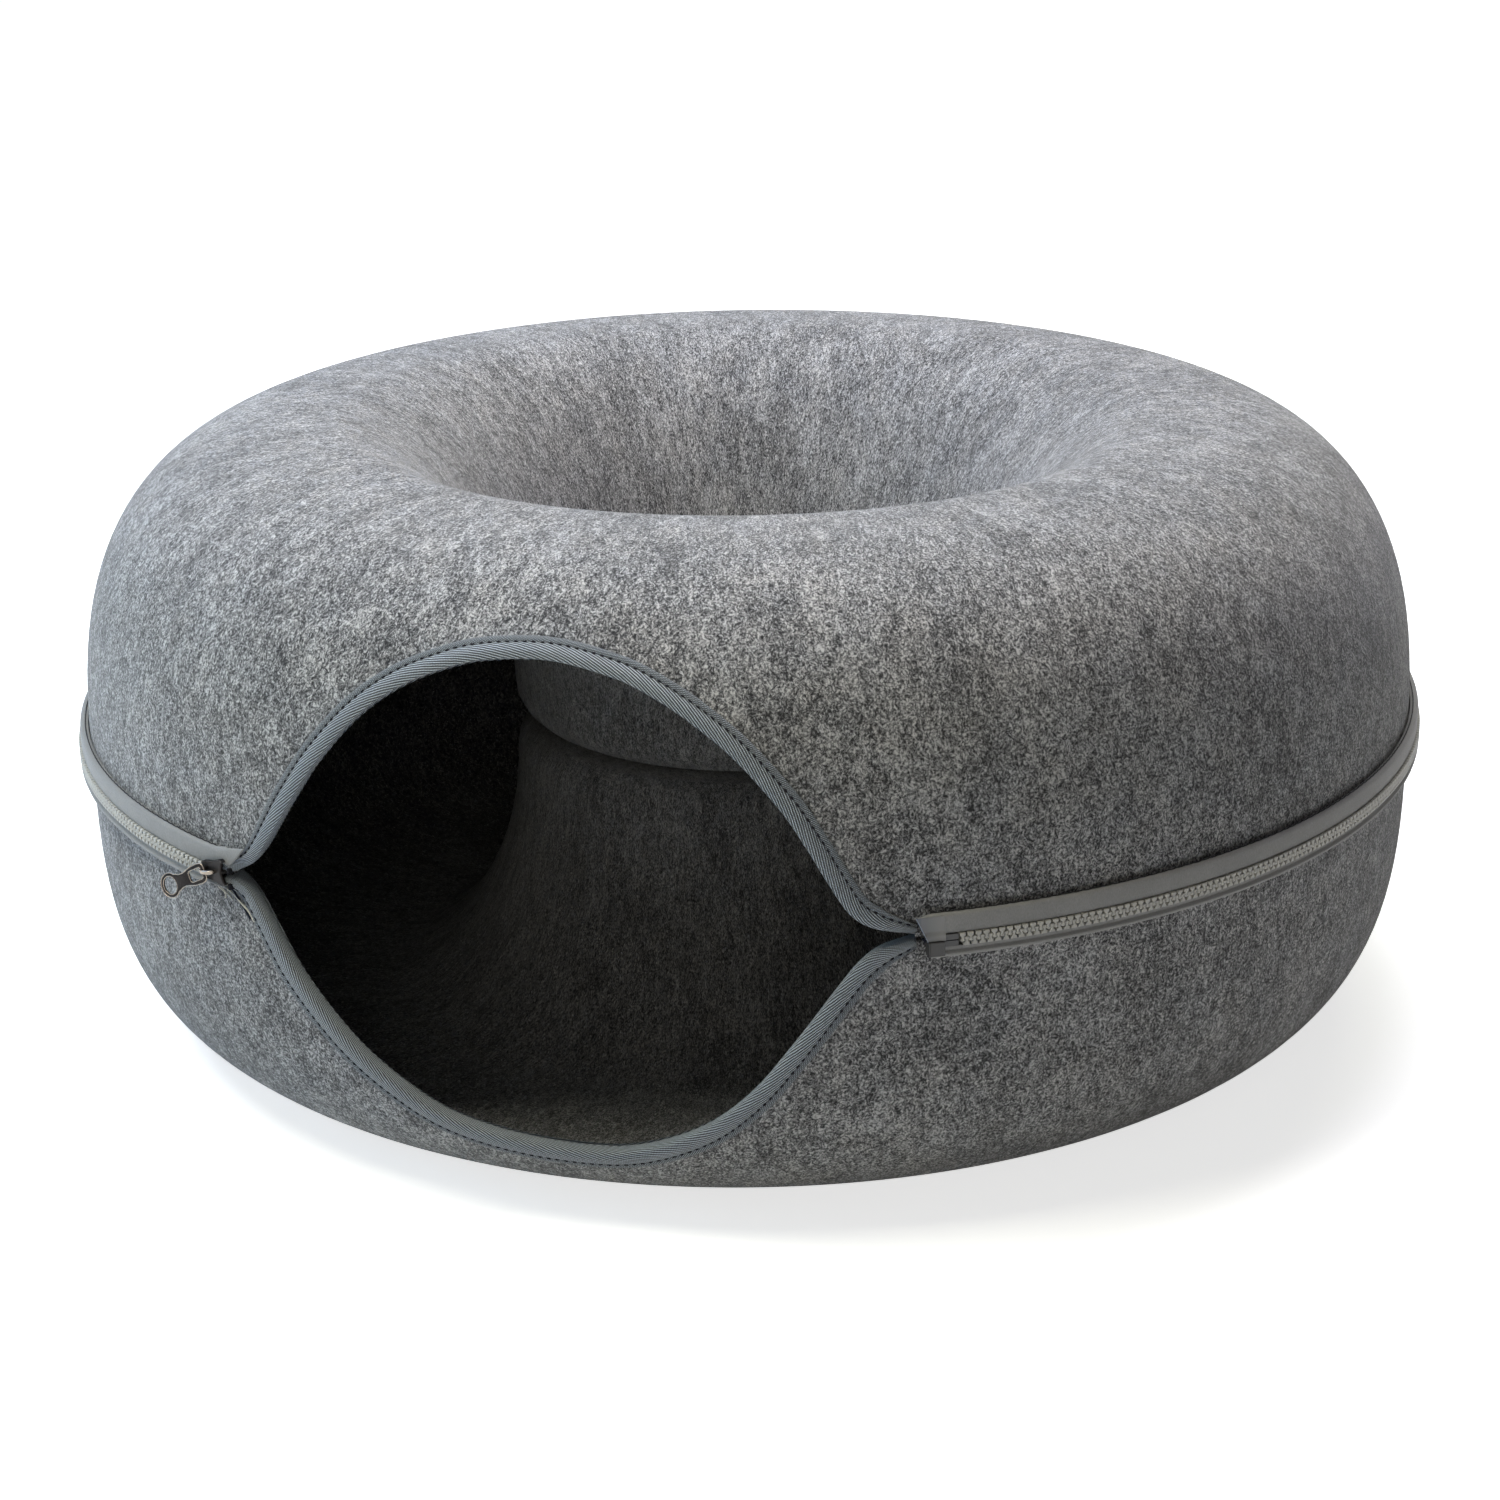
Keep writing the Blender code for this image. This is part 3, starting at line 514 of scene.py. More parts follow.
class Nodes:
    """The node tree of a material or of the world, with short ways to add and join nodes."""

    def __init__(self, owner, shader):
        owner.use_nodes = True
        self.owner = owner
        self.tree = owner.node_tree
        self.shader = self.tree.nodes[shader]

    def feed(self, socket, value):
        """Joins a socket to a node or another socket, or sets it to a value."""
        if isinstance(value, bpy.types.NodeSocket):
            self.tree.links.new(value, socket)
        elif isinstance(value, bpy.types.Node):
            self.tree.links.new(value.outputs[0], socket)
        else:
            socket.default_value = value

    def add(self, kind, inputs=(), **settings):
        """A new node with its settings made and its inputs fed."""
        node = assign(self.tree.nodes.new("ShaderNode" + kind), settings)
        for key, value in dict(inputs).items():
            self.feed(node.inputs[key], value)
        return node

    def math(self, operation, a, b=0.0, c=0.0, clamp=False):
        """One step of arithmetic on up to three values."""
        return self.add("Math", {0: a, 1: b, 2: c}, operation=operation, use_clamp=clamp)

    def plus(self, a, b, clamp=False):
        """The sum of two values."""
        return self.math("ADD", a, b, clamp=clamp)

    def times(self, a, b, clamp=False):
        """The product of two values."""
        return self.math("MULTIPLY", a, b, clamp=clamp)

    def place(self):
        """The place on the object."""
        return self.add("TexCoord").outputs["Object"]

    def noise(self, vector, scale, detail=2.0, roughness=0.5, lay=1.0):
        """Noise, drawn out along the third number where lay is less than 1."""
        if lay < 1.0:
            vector = self.add("Mapping", {"Vector": vector, "Scale": (1.0, 1.0, lay)})
        return self.add(
            "TexNoise", {"Vector": vector, "Scale": scale, "Detail": detail, "Roughness": roughness})

    def centred(self, noise, contrast):
        """A texture's value about 0, widened."""
        return self.times(self.math("SUBTRACT", noise, 0.5), contrast)

    def mix(self, factor, a, b, blend="MIX"):
        """Two colours mixed."""
        return self.add("Mix", {0: factor, 6: a, 7: b}, data_type="RGBA", blend_type=blend).outputs[2]

    def ramp(self, factor, *stops):
        """A colour ramp with stops at the given places."""
        node = self.add("ValToRGB", {"Fac": factor})
        ramp = node.color_ramp
        while len(ramp.elements) < len(stops):
            ramp.elements.new(0.5)
        for element, (place, colour) in zip(ramp.elements, stops):
            element.position = place
            element.color = (*colour, 1.0)
        return node.outputs[0]

    def shades(self, factor, colour, *stops):
        """A ramp of darker and lighter shades of one colour."""
        return self.ramp(factor, *((place, tuple(min(1.0, k * c) for c in colour)) for place, k in stops))

    def seen(self):
        """1 where the camera or a reflection looks, and 0 for the light on the pieces."""
        path = self.add("LightPath")
        return self.math("MAXIMUM", path.outputs["Is Camera Ray"], path.outputs["Is Glossy Ray"])

    def drive(self, name, value):
        """Joins one of the shader's inputs to a node."""
        self.feed(self.shader.inputs[name], value)

    def finish(self, height, distance, strength):
        """The finished material, with its bump."""
        self.drive("Normal", self.add("Bump", {"Height": height, "Distance": distance, "Strength": strength}))
        return self.owner


def surface(name, roughness, **levels):
    """The nodes of a new material, with levels set on the shader's own sockets."""
    n = Nodes(bpy.data.materials.new(name), "Principled BSDF")
    n.shader.inputs["Roughness"].default_value = roughness
    for key, level in levels.items():
        n.shader.inputs[SOCKETS[key]].default_value = level
    return n


def paint(obj, material):
    """Gives a piece its only material."""
    obj.data.materials.clear()
    obj.data.materials.append(material)


def felt_material(name, colours):
    """Pressed heather felt: dark, grey and pale fibres that lie along the profile, in clumps."""
    n = surface(name, 0.95, specular=0.18, sheen=0.22, sheen_roughness=0.55)
    lay = n.add("Attribute", attribute_name="lay").outputs["Vector"]
    warp = n.noise(lay, 260.0).outputs["Color"]
    warp = n.add("VectorMath", {0: warp, 1: (0.0030,) * 3}, operation="MULTIPLY")
    bent = n.add("VectorMath", {0: lay, 1: warp}, operation="ADD")
    fibre = n.centred(n.noise(bent, 1500.0, 2.0, 0.65, 0.60), 4.4)
    strand = n.centred(n.noise(bent, 620.0, 2.0, 0.55, 0.42), 1.6)
    clump = n.centred(n.noise(bent, 170.0, 4.0, 0.60, 0.5), 1.15)
    cloud = n.centred(n.noise(lay, 38.0, 3.0, 0.6, 0.6), 0.74)
    tone = n.plus(n.plus(fibre, strand), n.plus(clump, cloud))
    value = n.math("POWER", n.math("MAXIMUM", n.plus(tone, 0.96), 0.1), 2.0)
    value = n.times(value, 0.333, clamp=True)
    base = n.ramp(value, (0.0, colours.felt_dark), (0.333, colours.felt_middle), (1.0, colours.felt_light))
    hue = n.plus(n.centred(n.noise(lay, 60.0), 1.6), 0.5, clamp=True)
    tint = n.mix(hue, (0.985, 1.0, 1.025, 1.0), (1.02, 1.0, 0.975, 1.0))
    n.drive("Base Color", n.mix(1.0, base, tint, "MULTIPLY"))
    height = n.plus(n.times(fibre, 0.29), n.times(clump, 0.60))
    return n.finish(height, 0.9 * MM, 0.55)


def binding_material(name, colours):
    """Herringbone tape: oblique ribs that turn back at the stitch line and at the fold."""
    n = surface(name, 0.72, specular=0.35, sheen=0.12)
    uv = n.add("UVMap", uv_map="tape").outputs[0]
    parts = n.add("SeparateXYZ", {0: uv})
    along, across = parts.outputs[0], parts.outputs[1]
    strip = n.math("LESS_THAN", across, STRIP_WIDTH)
    body = n.math("SUBTRACT", n.times(across, 0.956), n.times(along, 0.292))
    border = n.plus(n.times(across, 1.25), n.times(along, 0.72))
    phase = n.mix(strip, n.add("CombineXYZ", {0: body}), n.add("CombineXYZ", {0: border}))
    uneven = n.times(n.noise(uv, 260.0), 0.4 * MM)
    phase = n.plus(n.add("SeparateXYZ", {0: phase}).outputs[0], uneven)
    wave = n.math("SINE", n.times(phase, 6600.0))
    weft = n.plus(along, n.times(across, 0.30))
    cross = n.times(n.math("SINE", n.times(weft, 9200.0)), 0.17)
    depth = n.math("MULTIPLY_ADD", strip, -0.20, 0.52)
    rib = n.plus(n.math("MULTIPLY_ADD", wave, depth, 0.5), cross)
    rib = n.math("SUBTRACT", rib, n.times(strip, 0.05))
    yarn = n.noise(uv, 2300.0, 2.0, 0.6)
    cloud = n.noise(uv, 130.0, 3.0)
    shade = n.plus(n.times(rib, 0.75), n.times(yarn, 0.42))
    base = n.shades(shade, colours.binding, (0.32, 0.10), (0.62, 1.0), (0.96, 4.0))
    base = n.mix(n.times(cloud, 0.22), base, (0.10, 0.10, 0.10, 1.0))
    offset = n.math("ABSOLUTE", n.math("SUBTRACT", across, STRIP_WIDTH))
    near = n.math("LESS_THAN", offset, 0.35 * MM)
    base = n.mix(n.times(near, 0.25), base, (0.012, 0.013, 0.016, 1.0))
    # The strip beside the stitches is painted a dark blue shade where the tape turns in at its left end.
    end = n.math("SUBTRACT", 1.3, n.times(n.math("ABSOLUTE", along), 52.0), clamp=True)
    painted_shade = n.times(n.times(end, strip), 0.82)
    n.drive("Base Color", n.mix(painted_shade, base, (0.020, 0.030, 0.062, 1.0)))
    height = n.plus(n.times(rib, 0.7), n.times(yarn, 0.3))
    return n.finish(height, 0.5 * MM, 0.9)


def tape_material(name, colours):
    """Plain woven zip tape with fine cross threads."""
    n = surface(name, 0.66, specular=0.35, sheen=0.1)
    place = n.place()
    weave = n.noise(place, 2600.0, 2.0, 0.6, 0.45)
    cloud = n.noise(place, 110.0, 3.0)
    value = n.plus(n.plus(n.centred(weave, 0.9), n.centred(cloud, 0.35)), 0.5, clamp=True)
    n.drive("Base Color", n.shades(value, colours.tape, (0.1, 0.72), (0.5, 1.0), (0.95, 1.35)))
    return n.finish(weave, 0.2 * MM, 0.7)


def resin_material(name, colours, tone):
    """Moulded resin, a little yellowed, with a cloudy tone and a fine grain."""
    n = surface(name, 0.46, specular=0.45)
    place = n.place()
    cloud = n.noise(place, 260.0, 3.0)
    grain = n.noise(place, 3000.0)
    value = n.plus(n.plus(n.centred(cloud, 0.6), n.centred(grain, 0.3)), 0.5, clamp=True)
    base = tuple(tone * c for c in colours.resin)
    n.drive("Base Color", n.shades(value, base, (0.1, 0.80), (0.5, 1.0), (0.9, 1.15)))
    return n.finish(grain, 0.06 * MM, 0.6)


def metal_material(name, colour, roughness, worn_and_highlight):
    """Plated metal: dark, streaky polish, with edges painted paler, partly as wear and partly as a painted
    highlight.
    """
    n = surface(name, roughness, metallic=1.0)
    place = n.place()
    streak = n.noise(place, 900.0, 3.0, 0.6, 0.35)
    cloud = n.noise(place, 320.0, 3.0)
    # Pointy edges are painted paler: partly wear, partly a painted highlight.
    edge = n.add("NewGeometry").outputs["Pointiness"]
    wear_and_highlight = n.times(n.math("SUBTRACT", edge, 0.54, clamp=True), 9.0, clamp=True)
    light = tuple(c + worn_and_highlight * (0.62 - c) for c in colour)
    n.drive("Base Color", n.mix(wear_and_highlight, n.shades(cloud, colour, (0.3, 0.8), (0.7, 1.2)), (*light, 1.0)))
    n.drive("Roughness", n.math("MULTIPLY_ADD", streak, 0.16, roughness - 0.06))
    return n.finish(streak, 0.04 * MM, 0.5)


def plastic_material(name, colour, roughness):
    """Moulded plastic with a fine grain."""
    n = surface(name, roughness)
    place = n.place()
    grain = n.noise(place, 2600.0)
    cloud = n.noise(place, 300.0)
    value = n.plus(n.centred(cloud, 0.7), 0.5, clamp=True)
    n.drive("Base Color", n.shades(value, colour, (0.1, 0.8), (0.9, 1.25)))
    n.drive("Roughness", n.math("MULTIPLY_ADD", grain, 0.12, roughness - 0.05))
    return n.finish(grain, 0.05 * MM, 0.5)


def thread_material(name, colour):
    """Twisted sewing thread; near black, it also paints shade on the stops, the shadow line and the binding's
    ends.
    """
    n = surface(name, 0.7, specular=0.12)
    twist = n.noise(n.place(), 2600.0, 2.0, 0.6)
    n.drive("Base Color", n.shades(twist, colour, (0.35, 0.55), (0.65, 1.5)))
    return n.finish(twist, 0.08 * MM, 0.8)


def film_material(name, colours):
    """Glossy film over the tape, bluish at its free end and clear further along."""
    n = surface(name, 0.24)
    turn = math.radians(CORNER)
    ahead = (math.cos(turn), math.sin(turn), 0.0)
    along = n.add("VectorMath", {0: n.place(), 1: ahead}, operation="DOT_PRODUCT").outputs["Value"]
    share = n.times(along, 110.0, clamp=True)
    bluish, grey = (0.085, 0.092, 0.108), (0.110, 0.112, 0.116)
    tape = tuple(0.92 * c for c in colours.tape)
    n.drive("Base Color", n.ramp(share, (0.0, bluish), (0.35, grey), (1.0, tape)))
    n.drive("Roughness", n.math("MULTIPLY_ADD", share, 0.40, 0.22))
    return n.owner


# The bindings' form

Station = namedtuple("Station", "place away inwards ahead along wide puff")


def binding_stations(s, side):
    """Places along the cut edge with their directions, and the tape's width and thickness there."""
    line = arch_line(s, side, 10)
    line = [line[0] - Vector((3.2 * MM, 0.0)), line[0] - Vector((1.6 * MM, 0.0))] + line
    rows, along = [], 0.0
    for i, point in enumerate(line):
        place, out = felt_point(s, *point)
        before = felt_point(s, *line[max(i - 1, 0)])[0]
        after = felt_point(s, *line[min(i + 1, len(line) - 1)])[0]
        ahead = (after - before).normalized()
        away = ahead.cross(out).normalized() * -side
        if rows:
            along += (place - rows[-1][0]).length
        rows.append((place, away, Vector((0.0, -1 / out.y, 0.0)), ahead, along))
    # The tape narrows towards both ends, and swells over the top stops at the left one.
    stations = []
    for row in rows:
        left, right = row[-1] / 0.045, (along - row[-1]) / 0.017
        wide = min(1.0, 0.50 + 0.50 * left, 0.30 + 0.70 * right)
        stations.append(Station(*row, wide, 1.0 + 2.1 * max(0.0, 1.0 - row[-1] / 0.012)))
    return stations


def folded_section(s, at):
    """The folded tape's outline: front leg, rounded fold, back leg, and back again inside."""
    t = s.felt_thickness / MM
    edge = Vector((at.away.x, 0.0, at.away.z)).normalized()

    def leg(rows, puff=1.0):
        points = []
        for across, lift in rows:
            spot = at.place + at.away * (across * at.wide * MM)
            base, normal = felt_point(s, spot.x, spot.z)
            points.append(base + normal * (lift * puff * MM))
        return points

    def bend(rows):
        points = []
        for across, lift in rows:
            puff = at.puff if lift > 0.0 else 1.0
            points.append(at.place + edge * (across * MM) - at.inwards * (lift * puff * MM))
        return points

    back_leg = ((0.6, -t - 1.7), (3.6, -t - 1.7), (6.6, -t - 1.5), (6.8, -t - 0.6), (0.8, -t - 0.5))
    inner_bend = ((-0.25, -t + 0.4), (-0.25, -0.4))
    inner_leg = ((0.9, 0.25), (4.0, 0.3))
    return leg(FRONT_LEG, at.puff) + bend(FOLD) + leg(back_leg) + bend(inner_bend) + leg(inner_leg)


def folded_tape(name, s, side, stations):
    """A binding along its stations, with its map in metres along and across the tape."""
    sections, uvs = [], []
    for at in stations:
        row = folded_section(s, at)
        sections.append(row)
        across, marks, last = 0.0, [], row[0]
        for spot in row:
            step = spot - last
            across += (step - at.ahead * step.dot(at.ahead)).length / at.wide
            marks.append((side * (at.along + (spot - at.place).dot(at.ahead)), across))
            last = spot
        uvs.append(marks)
    return loft(name, sections, uvs)


def stitch_row(name, s, stations):
    """Stitches along the front leg, each a short rounded length of thread."""
    start_clean()
    bpy.ops.mesh.primitive_uv_sphere_add(segments=8, ring_count=6, radius=1.0)
    stitch = bpy.context.object
    stitch.scale = (0.95 * MM, 0.44 * MM, 0.36 * MM)
    bpy.ops.object.transform_apply(location=True, rotation=True, scale=True)
    path = []
    for at in stations:
        spot = at.place + at.away * (4.8 * at.wide * MM)
        base, normal = felt_point(s, spot.x, spot.z)
        path.append((base + normal * (1.12 * at.puff * MM), normal))
    lengths = [0.0]
    for a, b in zip(path, path[1:]):
        lengths.append(lengths[-1] + (b[0] - a[0]).length)
    places = []
    count = int(lengths[-1] / STITCH_PITCH)
    for k in range(1, count):
        target = lengths[-1] * k / count
        i = max(j for j in range(len(path) - 1) if lengths[j] <= target)
        here, normal = path[i]
        there = path[i + 1][0]
        spot = here.lerp(there, (target - lengths[i]) / (lengths[i + 1] - lengths[i]))
        beside = normal.cross((there - here).normalized()).normalized()
        basis = Matrix((beside.cross(normal), beside, normal)).transposed().to_4x4()
        places.append(Matrix.Translation(spot) @ basis)
    return repeated(name, stitch, places)


# The zip's form


def upper_shadow_line():
    """A dark thread bead along the upper tape's top edge at the felt, painted as the shadow line between tape
    and felt.
    """
    count = round((SHADOW_LINE_END - SHADOW_LINE_START) / 0.14)
    line = []
    for i in range(count + 1):
        turn = math.radians(SHADOW_LINE_START + (SHADOW_LINE_END - SHADOW_LINE_START) * i / count)
        z = 10.75 + 0.16 * math.sin(math.pi * i / 3)
        line.append(ring_spot(turn, 301.7 * MM, z * MM))
    return bead("upper_shadow_line", [line], 0.26 * MM)


def row_shift(degrees):
    """How far the slider's wedge pushes a row away from the zip's middle line."""
    start = CHAIN_END - SLIDER_SPAN
    return ROW_SPREAD * clamp((degrees - start) / (CHAIN_END - start))


def zip_tape(name, side):
    """A leaf beside the teeth, then a turned edge that dips back to the felt."""
    if side > 0:
        outline, first, last = UPPER_TAPE, CORNER - 0.15, LEFT_CORNER + 2.0
    else:
        outline, first, last = LOWER_TAPE, BOX_ANGLE - 0.3, CHAIN_END - 0.2
    turns = [first + (last - first) * i / 420 for i in range(421)]
    if side > 0:
        turns += [CORNER - 0.1 + 0.1 * k for k in range(8)]
        turns += [LEFT_CORNER + 0.1 * k for k in range(-9, 20)]
    reach = max(z for r, z in outline)
    sections, uvs = [], []
    for degrees in sorted(turns):
        turn = math.radians(degrees)
        near = slant = climb = squeeze = 0.0
        if side > 0:
            # The upper leaf's ends are cut slantwise and lie over the bindings.
            near = (CORNER + 0.70 - degrees) / 0.85
            far = (degrees - 360.0 + CORNER + 0.5) / 2.5
            slant = min(max(near, far, 0.0), 0.985)
            climb = 4.1 * clamp((degrees - CLIMB_START) / (last - CLIMB_START))
        else:
            squeeze = 0.42 * clamp((degrees - CHAIN_END + 4.0) / 2.0)
        peel = min(1.0, 6.0 * slant)
        row = []
        for k, (r, z) in enumerate(outline):
            own = row_shift(degrees) if k in (0, len(outline) - 1) and not slant else 0.0
            r += peel * max(0.0, 303.3 - r)
            z = (z + slant * (reach - z)) * (1.0 - 0.10 * clamp(near))
            z += climb * max(z - 3.4, 0.0) / (reach - 3.4)
            z -= squeeze * max(z - 2.75, 0.0)
            row.append(ring_spot(turn, r * MM, side * (z * MM + own)))
        sections.append(row)
        uvs.append([(turn * 0.304, k * MM) for k in range(len(outline))])
    return loft(name, sections, uvs)


def zip_teeth(name, side):
    """One tooth modelled and repeated: a wide foot on the tape, a neck and a head that interlocks."""
    half = (
        (0.62, -0.95), (0.94, -0.52), (0.70, -0.02), (0.48, 0.42), (0.58, 1.05), (1.18, 1.38), (1.18, 2.5))
    outline = [*half, *((-x, z) for x, z in reversed(half))]
    tooth = pen_line(name + "_tooth", [(x * MM, -ROW_INNER, side * z * MM) for x, z in outline], closed=True)
    edit(tooth)
    extrude((0.0, ROW_INNER - ROW_OUTER, 0.0))
    bpy.ops.mesh.bevel(offset=0.22 * MM, segments=1, affect="EDGES")
    done(tooth, 25)
    count = round(math.radians(CHAIN_END - CHAIN_START) * ROW_MIDDLE / TOOTH_PITCH)
    pitch = (CHAIN_END - CHAIN_START) / count
    places = []
    for i in range(count):
        degrees = CHAIN_START + pitch * (i + (0.3 if side > 0 else 0.8))
        if degrees <= CHAIN_END - 0.7:
            places.append(ring_matrix(degrees, (0.0, 0.0, side * row_shift(degrees))))
    return repeated(name, tooth, places)


# The slider's form


def slider_seat():
    """The slider's place, with its nose tipped up a little by the pull of the tapes."""
    tip = Matrix.Rotation(math.radians(-6.0), 4, "Y")
    return ring_matrix(SLIDER_ANGLE, (0.0, 0.0, 2.0 * MM)) @ tip


def slider_body():
    """Front and back plates, flanges and the wedge between the rows."""
    half = SLIDER_LENGTH / 2
    shape = (
        (-half, 0.0), (-half, 3.0 * MM), (-half + 1.2 * MM, 3.6 * MM), (0.0, 4.1 * MM), (3.0 * MM, 5.0 * MM),
        (half - 1.4 * MM, 5.6 * MM), (half, 5.0 * MM), (half - 1.0 * MM, 2.4 * MM), (half - 1.8 * MM, 0.0),
    )
    outline = [*shape, *((x, -z) for x, z in reversed(shape[1:-1]))]
    back_y = -0.3005
    front_y = -SLIDER_OUTER
    pieces = [
        prism("slider_back", [(x, back_y, z) for x, z in outline], (0, -1.1 * MM, 0), 0.25 * MM),
        prism("slider_front", [(x, front_y, z) for x, z in outline], (0, 1.4 * MM, 0), 0.45 * MM, 3),
    ]
    edge = shape[1:7]
    flange = [*edge, *((x, z - 0.8 * MM) for x, z in reversed(edge))]
    for side in (1, -1):
        for start, depth in ((back_y, -1.9 * MM), (front_y, 2.0 * MM)):
            points = [(x, start, side * z) for x, z in flange]
            pieces.append(prism("flange", points, (0, depth, 0), 0.1 * MM, 1))
    wedge = ((half - 5.3 * MM, 0.0), (half - 1.6 * MM, 0.8 * MM), (half - 1.6 * MM, -0.8 * MM))
    pieces.append(prism("wedge", [(x, back_y, z) for x, z in wedge], (0, -5.8 * MM, 0), 0.05 * MM, 1))
    body = join("slider", *pieces)
    body.data.transform(slider_seat())
    return body


def slider_crown():
    """The arched bar over the front plate."""
    turns = [math.pi * i / 16 for i in range(17)]
    outer, inner = (
        [(-2.5 * MM - across * MM * math.cos(t), up * MM * math.sin(t) ** 0.6) for t in turns]
        for across, up in ((3.9, 3.4), (2.9, 2.4))
    )
    points = [(x, -SLIDER_OUTER + 0.2 * MM - h, 0.8 * MM) for x, h in outer + inner[::-1]]
    crown = prism("slider_crown", points, (0, 0, -1.6 * MM), 0.30 * MM, 3)
    crown.data.transform(slider_seat() @ Matrix.Translation((0.0, 0.0, -0.1 * MM)))
    return crown


def moved_loop(loop, step):
    """A loop moved outwards by a step, or inwards by a negative one, on the plate's front."""
    line = []
    area = sum(a[0] * b[1] - b[0] * a[1] for a, b in zip(loop, loop[1:] + loop[:1]))
    for i, spot in enumerate(loop):
        ahead = Vector(loop[(i + 1) % len(loop)]) - Vector(loop[i - 1])
        side = Vector((ahead.y, -ahead.x)).normalized() * math.copysign(step, area)
        line.append((spot[0] + side.x, spot[1] + side.y, 0.25 * MM))
    return line


def slider_pull():
    """A bar and window over the crown, a waisted neck and a round ring, with rims round its edges."""
    ring_x, ring_r, hole_r = 20.0, 4.9, 3.6
    neck = (
        (-0.7, -2.5), (0.2, -3.5), (2.0, -3.9), (6.0, -3.7), (8.6, -3.1), (11.0, -2.5), (13.6, -2.5),
        (15.2, -3.1),
    )
    start = math.atan2(-3.5, -3.6)
    turns = [start * (1 - i / 12) for i in range(25)]
    ring = [(ring_x + ring_r * math.cos(t), ring_r * math.sin(t)) for t in turns]
    outline = [*neck, *ring, *((x, -y) for x, y in reversed(neck))]
    corners = ((0.9, -1.9), (1.3, -2.3), (7.4, -2.2), (8.0, -1.7))
    window = [*corners, *((x, -y) for x, y in reversed(corners))]
    turns = [math.tau * i / 32 for i in range(32)]
    hole = [(ring_x + hole_r * math.cos(t), hole_r * math.sin(t)) for t in turns]
    loops = [[(x * MM, y * MM) for x, y in loop] for loop in (outline, window, hole)]
    pull = plate("pull", loops, 0.9 * MM, 0.25 * MM)
    edges = [moved_loop(loop, step * MM) for loop, step in zip(loops, (-0.25, 0.2, 0.25))]
    rims = bead("pull_rims", edges, 0.24 * MM, closed=True)
    droop = math.radians(28.0)
    lean = math.radians(12.0)
    flat = Vector((-math.cos(droop), 0.0, -math.sin(droop)))
    along = flat * math.cos(lean) + Vector((0.0, -math.sin(lean), 0.0))
    out = Vector((0.0, -math.cos(lean), 0.0)) - flat * math.sin(lean)
    turn = Matrix((along, out.cross(along), out)).transposed().to_4x4()
    place = Matrix.Translation((-4.27 * MM, -SLIDER_OUTER - 1.2 * MM, 0.88 * MM))
    for piece in (pull, rims):
        piece.data.transform(ring_matrix(SLIDER_ANGLE) @ place @ turn)
    return pull, rims


# The retainer box's form


def block(name, x, z, front, depth, bevel, segments=1):
    """A softened block between two places in X and in Z."""
    outline = [(x[0], front, z[0]), (x[1], front, z[0]), (x[1], front, z[1]), (x[0], front, z[1])]
    return prism(name, outline, (0, depth, 0), bevel, segments)


def retainer_box():
    """A front plate, a taller back plate, an end wall and a floor, open at the top."""
    half, inner, outer = 3.2 * MM, 0.3017, 0.3065
    wide = (-half, half)
    low, lip = -5.4 * MM, 0.2 * MM
    box = join(
        "box",
        block("box", wide, (low, lip), -outer, 1.0 * MM, 0.35 * MM, 3),
        block("box_back", wide, (-4.7 * MM, 2.5 * MM), -inner, -1.0 * MM, 0.2 * MM),
        block("box_wall", (-half, -half + 1.0 * MM), (low, lip), -outer, outer - inner, 0.3 * MM, 2),
        block("box_floor", wide, (low, low + 0.6 * MM), -outer, outer - inner, 0.2 * MM),
    )
    box.data.transform(ring_matrix(BOX_ANGLE))
    return box


def tape_film():
    """The clear film that stiffens the upper tape's slanted end and hangs before the pin, and a bead along
    its slanted edge, painted as a highlight.
    """
    first, full, last = CORNER - 0.15, CORNER + 0.70, CORNER + 2.0
    low, high = 0.4, 10.1
    sections = []
    for i in range(41):
        degrees = first + (last - first) * i / 40
        turn = math.radians(degrees)
        slant = min(max((full - degrees) / (full - first), 0.0), 0.985)
        outer, inner = [], []
        for k in range(13):
            z = low + (high - low) * (slant + (1 - slant) * k / 12)
            share = clamp((3.4 - z) / 0.8)
            r = 304.35 + 0.95 * share * share * (3 - 2 * share)
            outer.append(ring_spot(turn, r * MM, z * MM))
            inner.append(ring_spot(turn, (r - 0.15) * MM, z * MM))
        sections.append(outer + inner[::-1])
    line = []
    for k in range(13):
        share = k / 12
        turn = math.radians(first + (full - first) * share)
        line.append(ring_spot(turn, (304.6 + 0.6 * share**3) * MM, (high + (low - high) * share) * MM))
    return loft("film", sections), bead("film_edge_highlight", [line], 0.20 * MM)


# Pieces


class TUNNEL_OT_felt(bpy.types.Operator):
    """Turn both felt shells, cut the entrance and give them their fibres"""

    bl_idname = "tunnel.felt"
    bl_label = "Felt shells"

    def execute(self, context):
        s = context.scene.tunnel_sizes
        colours = context.scene.tunnel_finish
        for side, name, body in ((1, "upper_felt", "upper_half"), (-1, "lower_felt", "lower_half")):
            shell = felt_shell(name, s, side)
            lay_of_fibres(shell, s, side)
            paint(shell, felt_material(name + "_cloth", colours))
            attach(shell, body)
            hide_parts(name + "_shell")
        return {"FINISHED"}


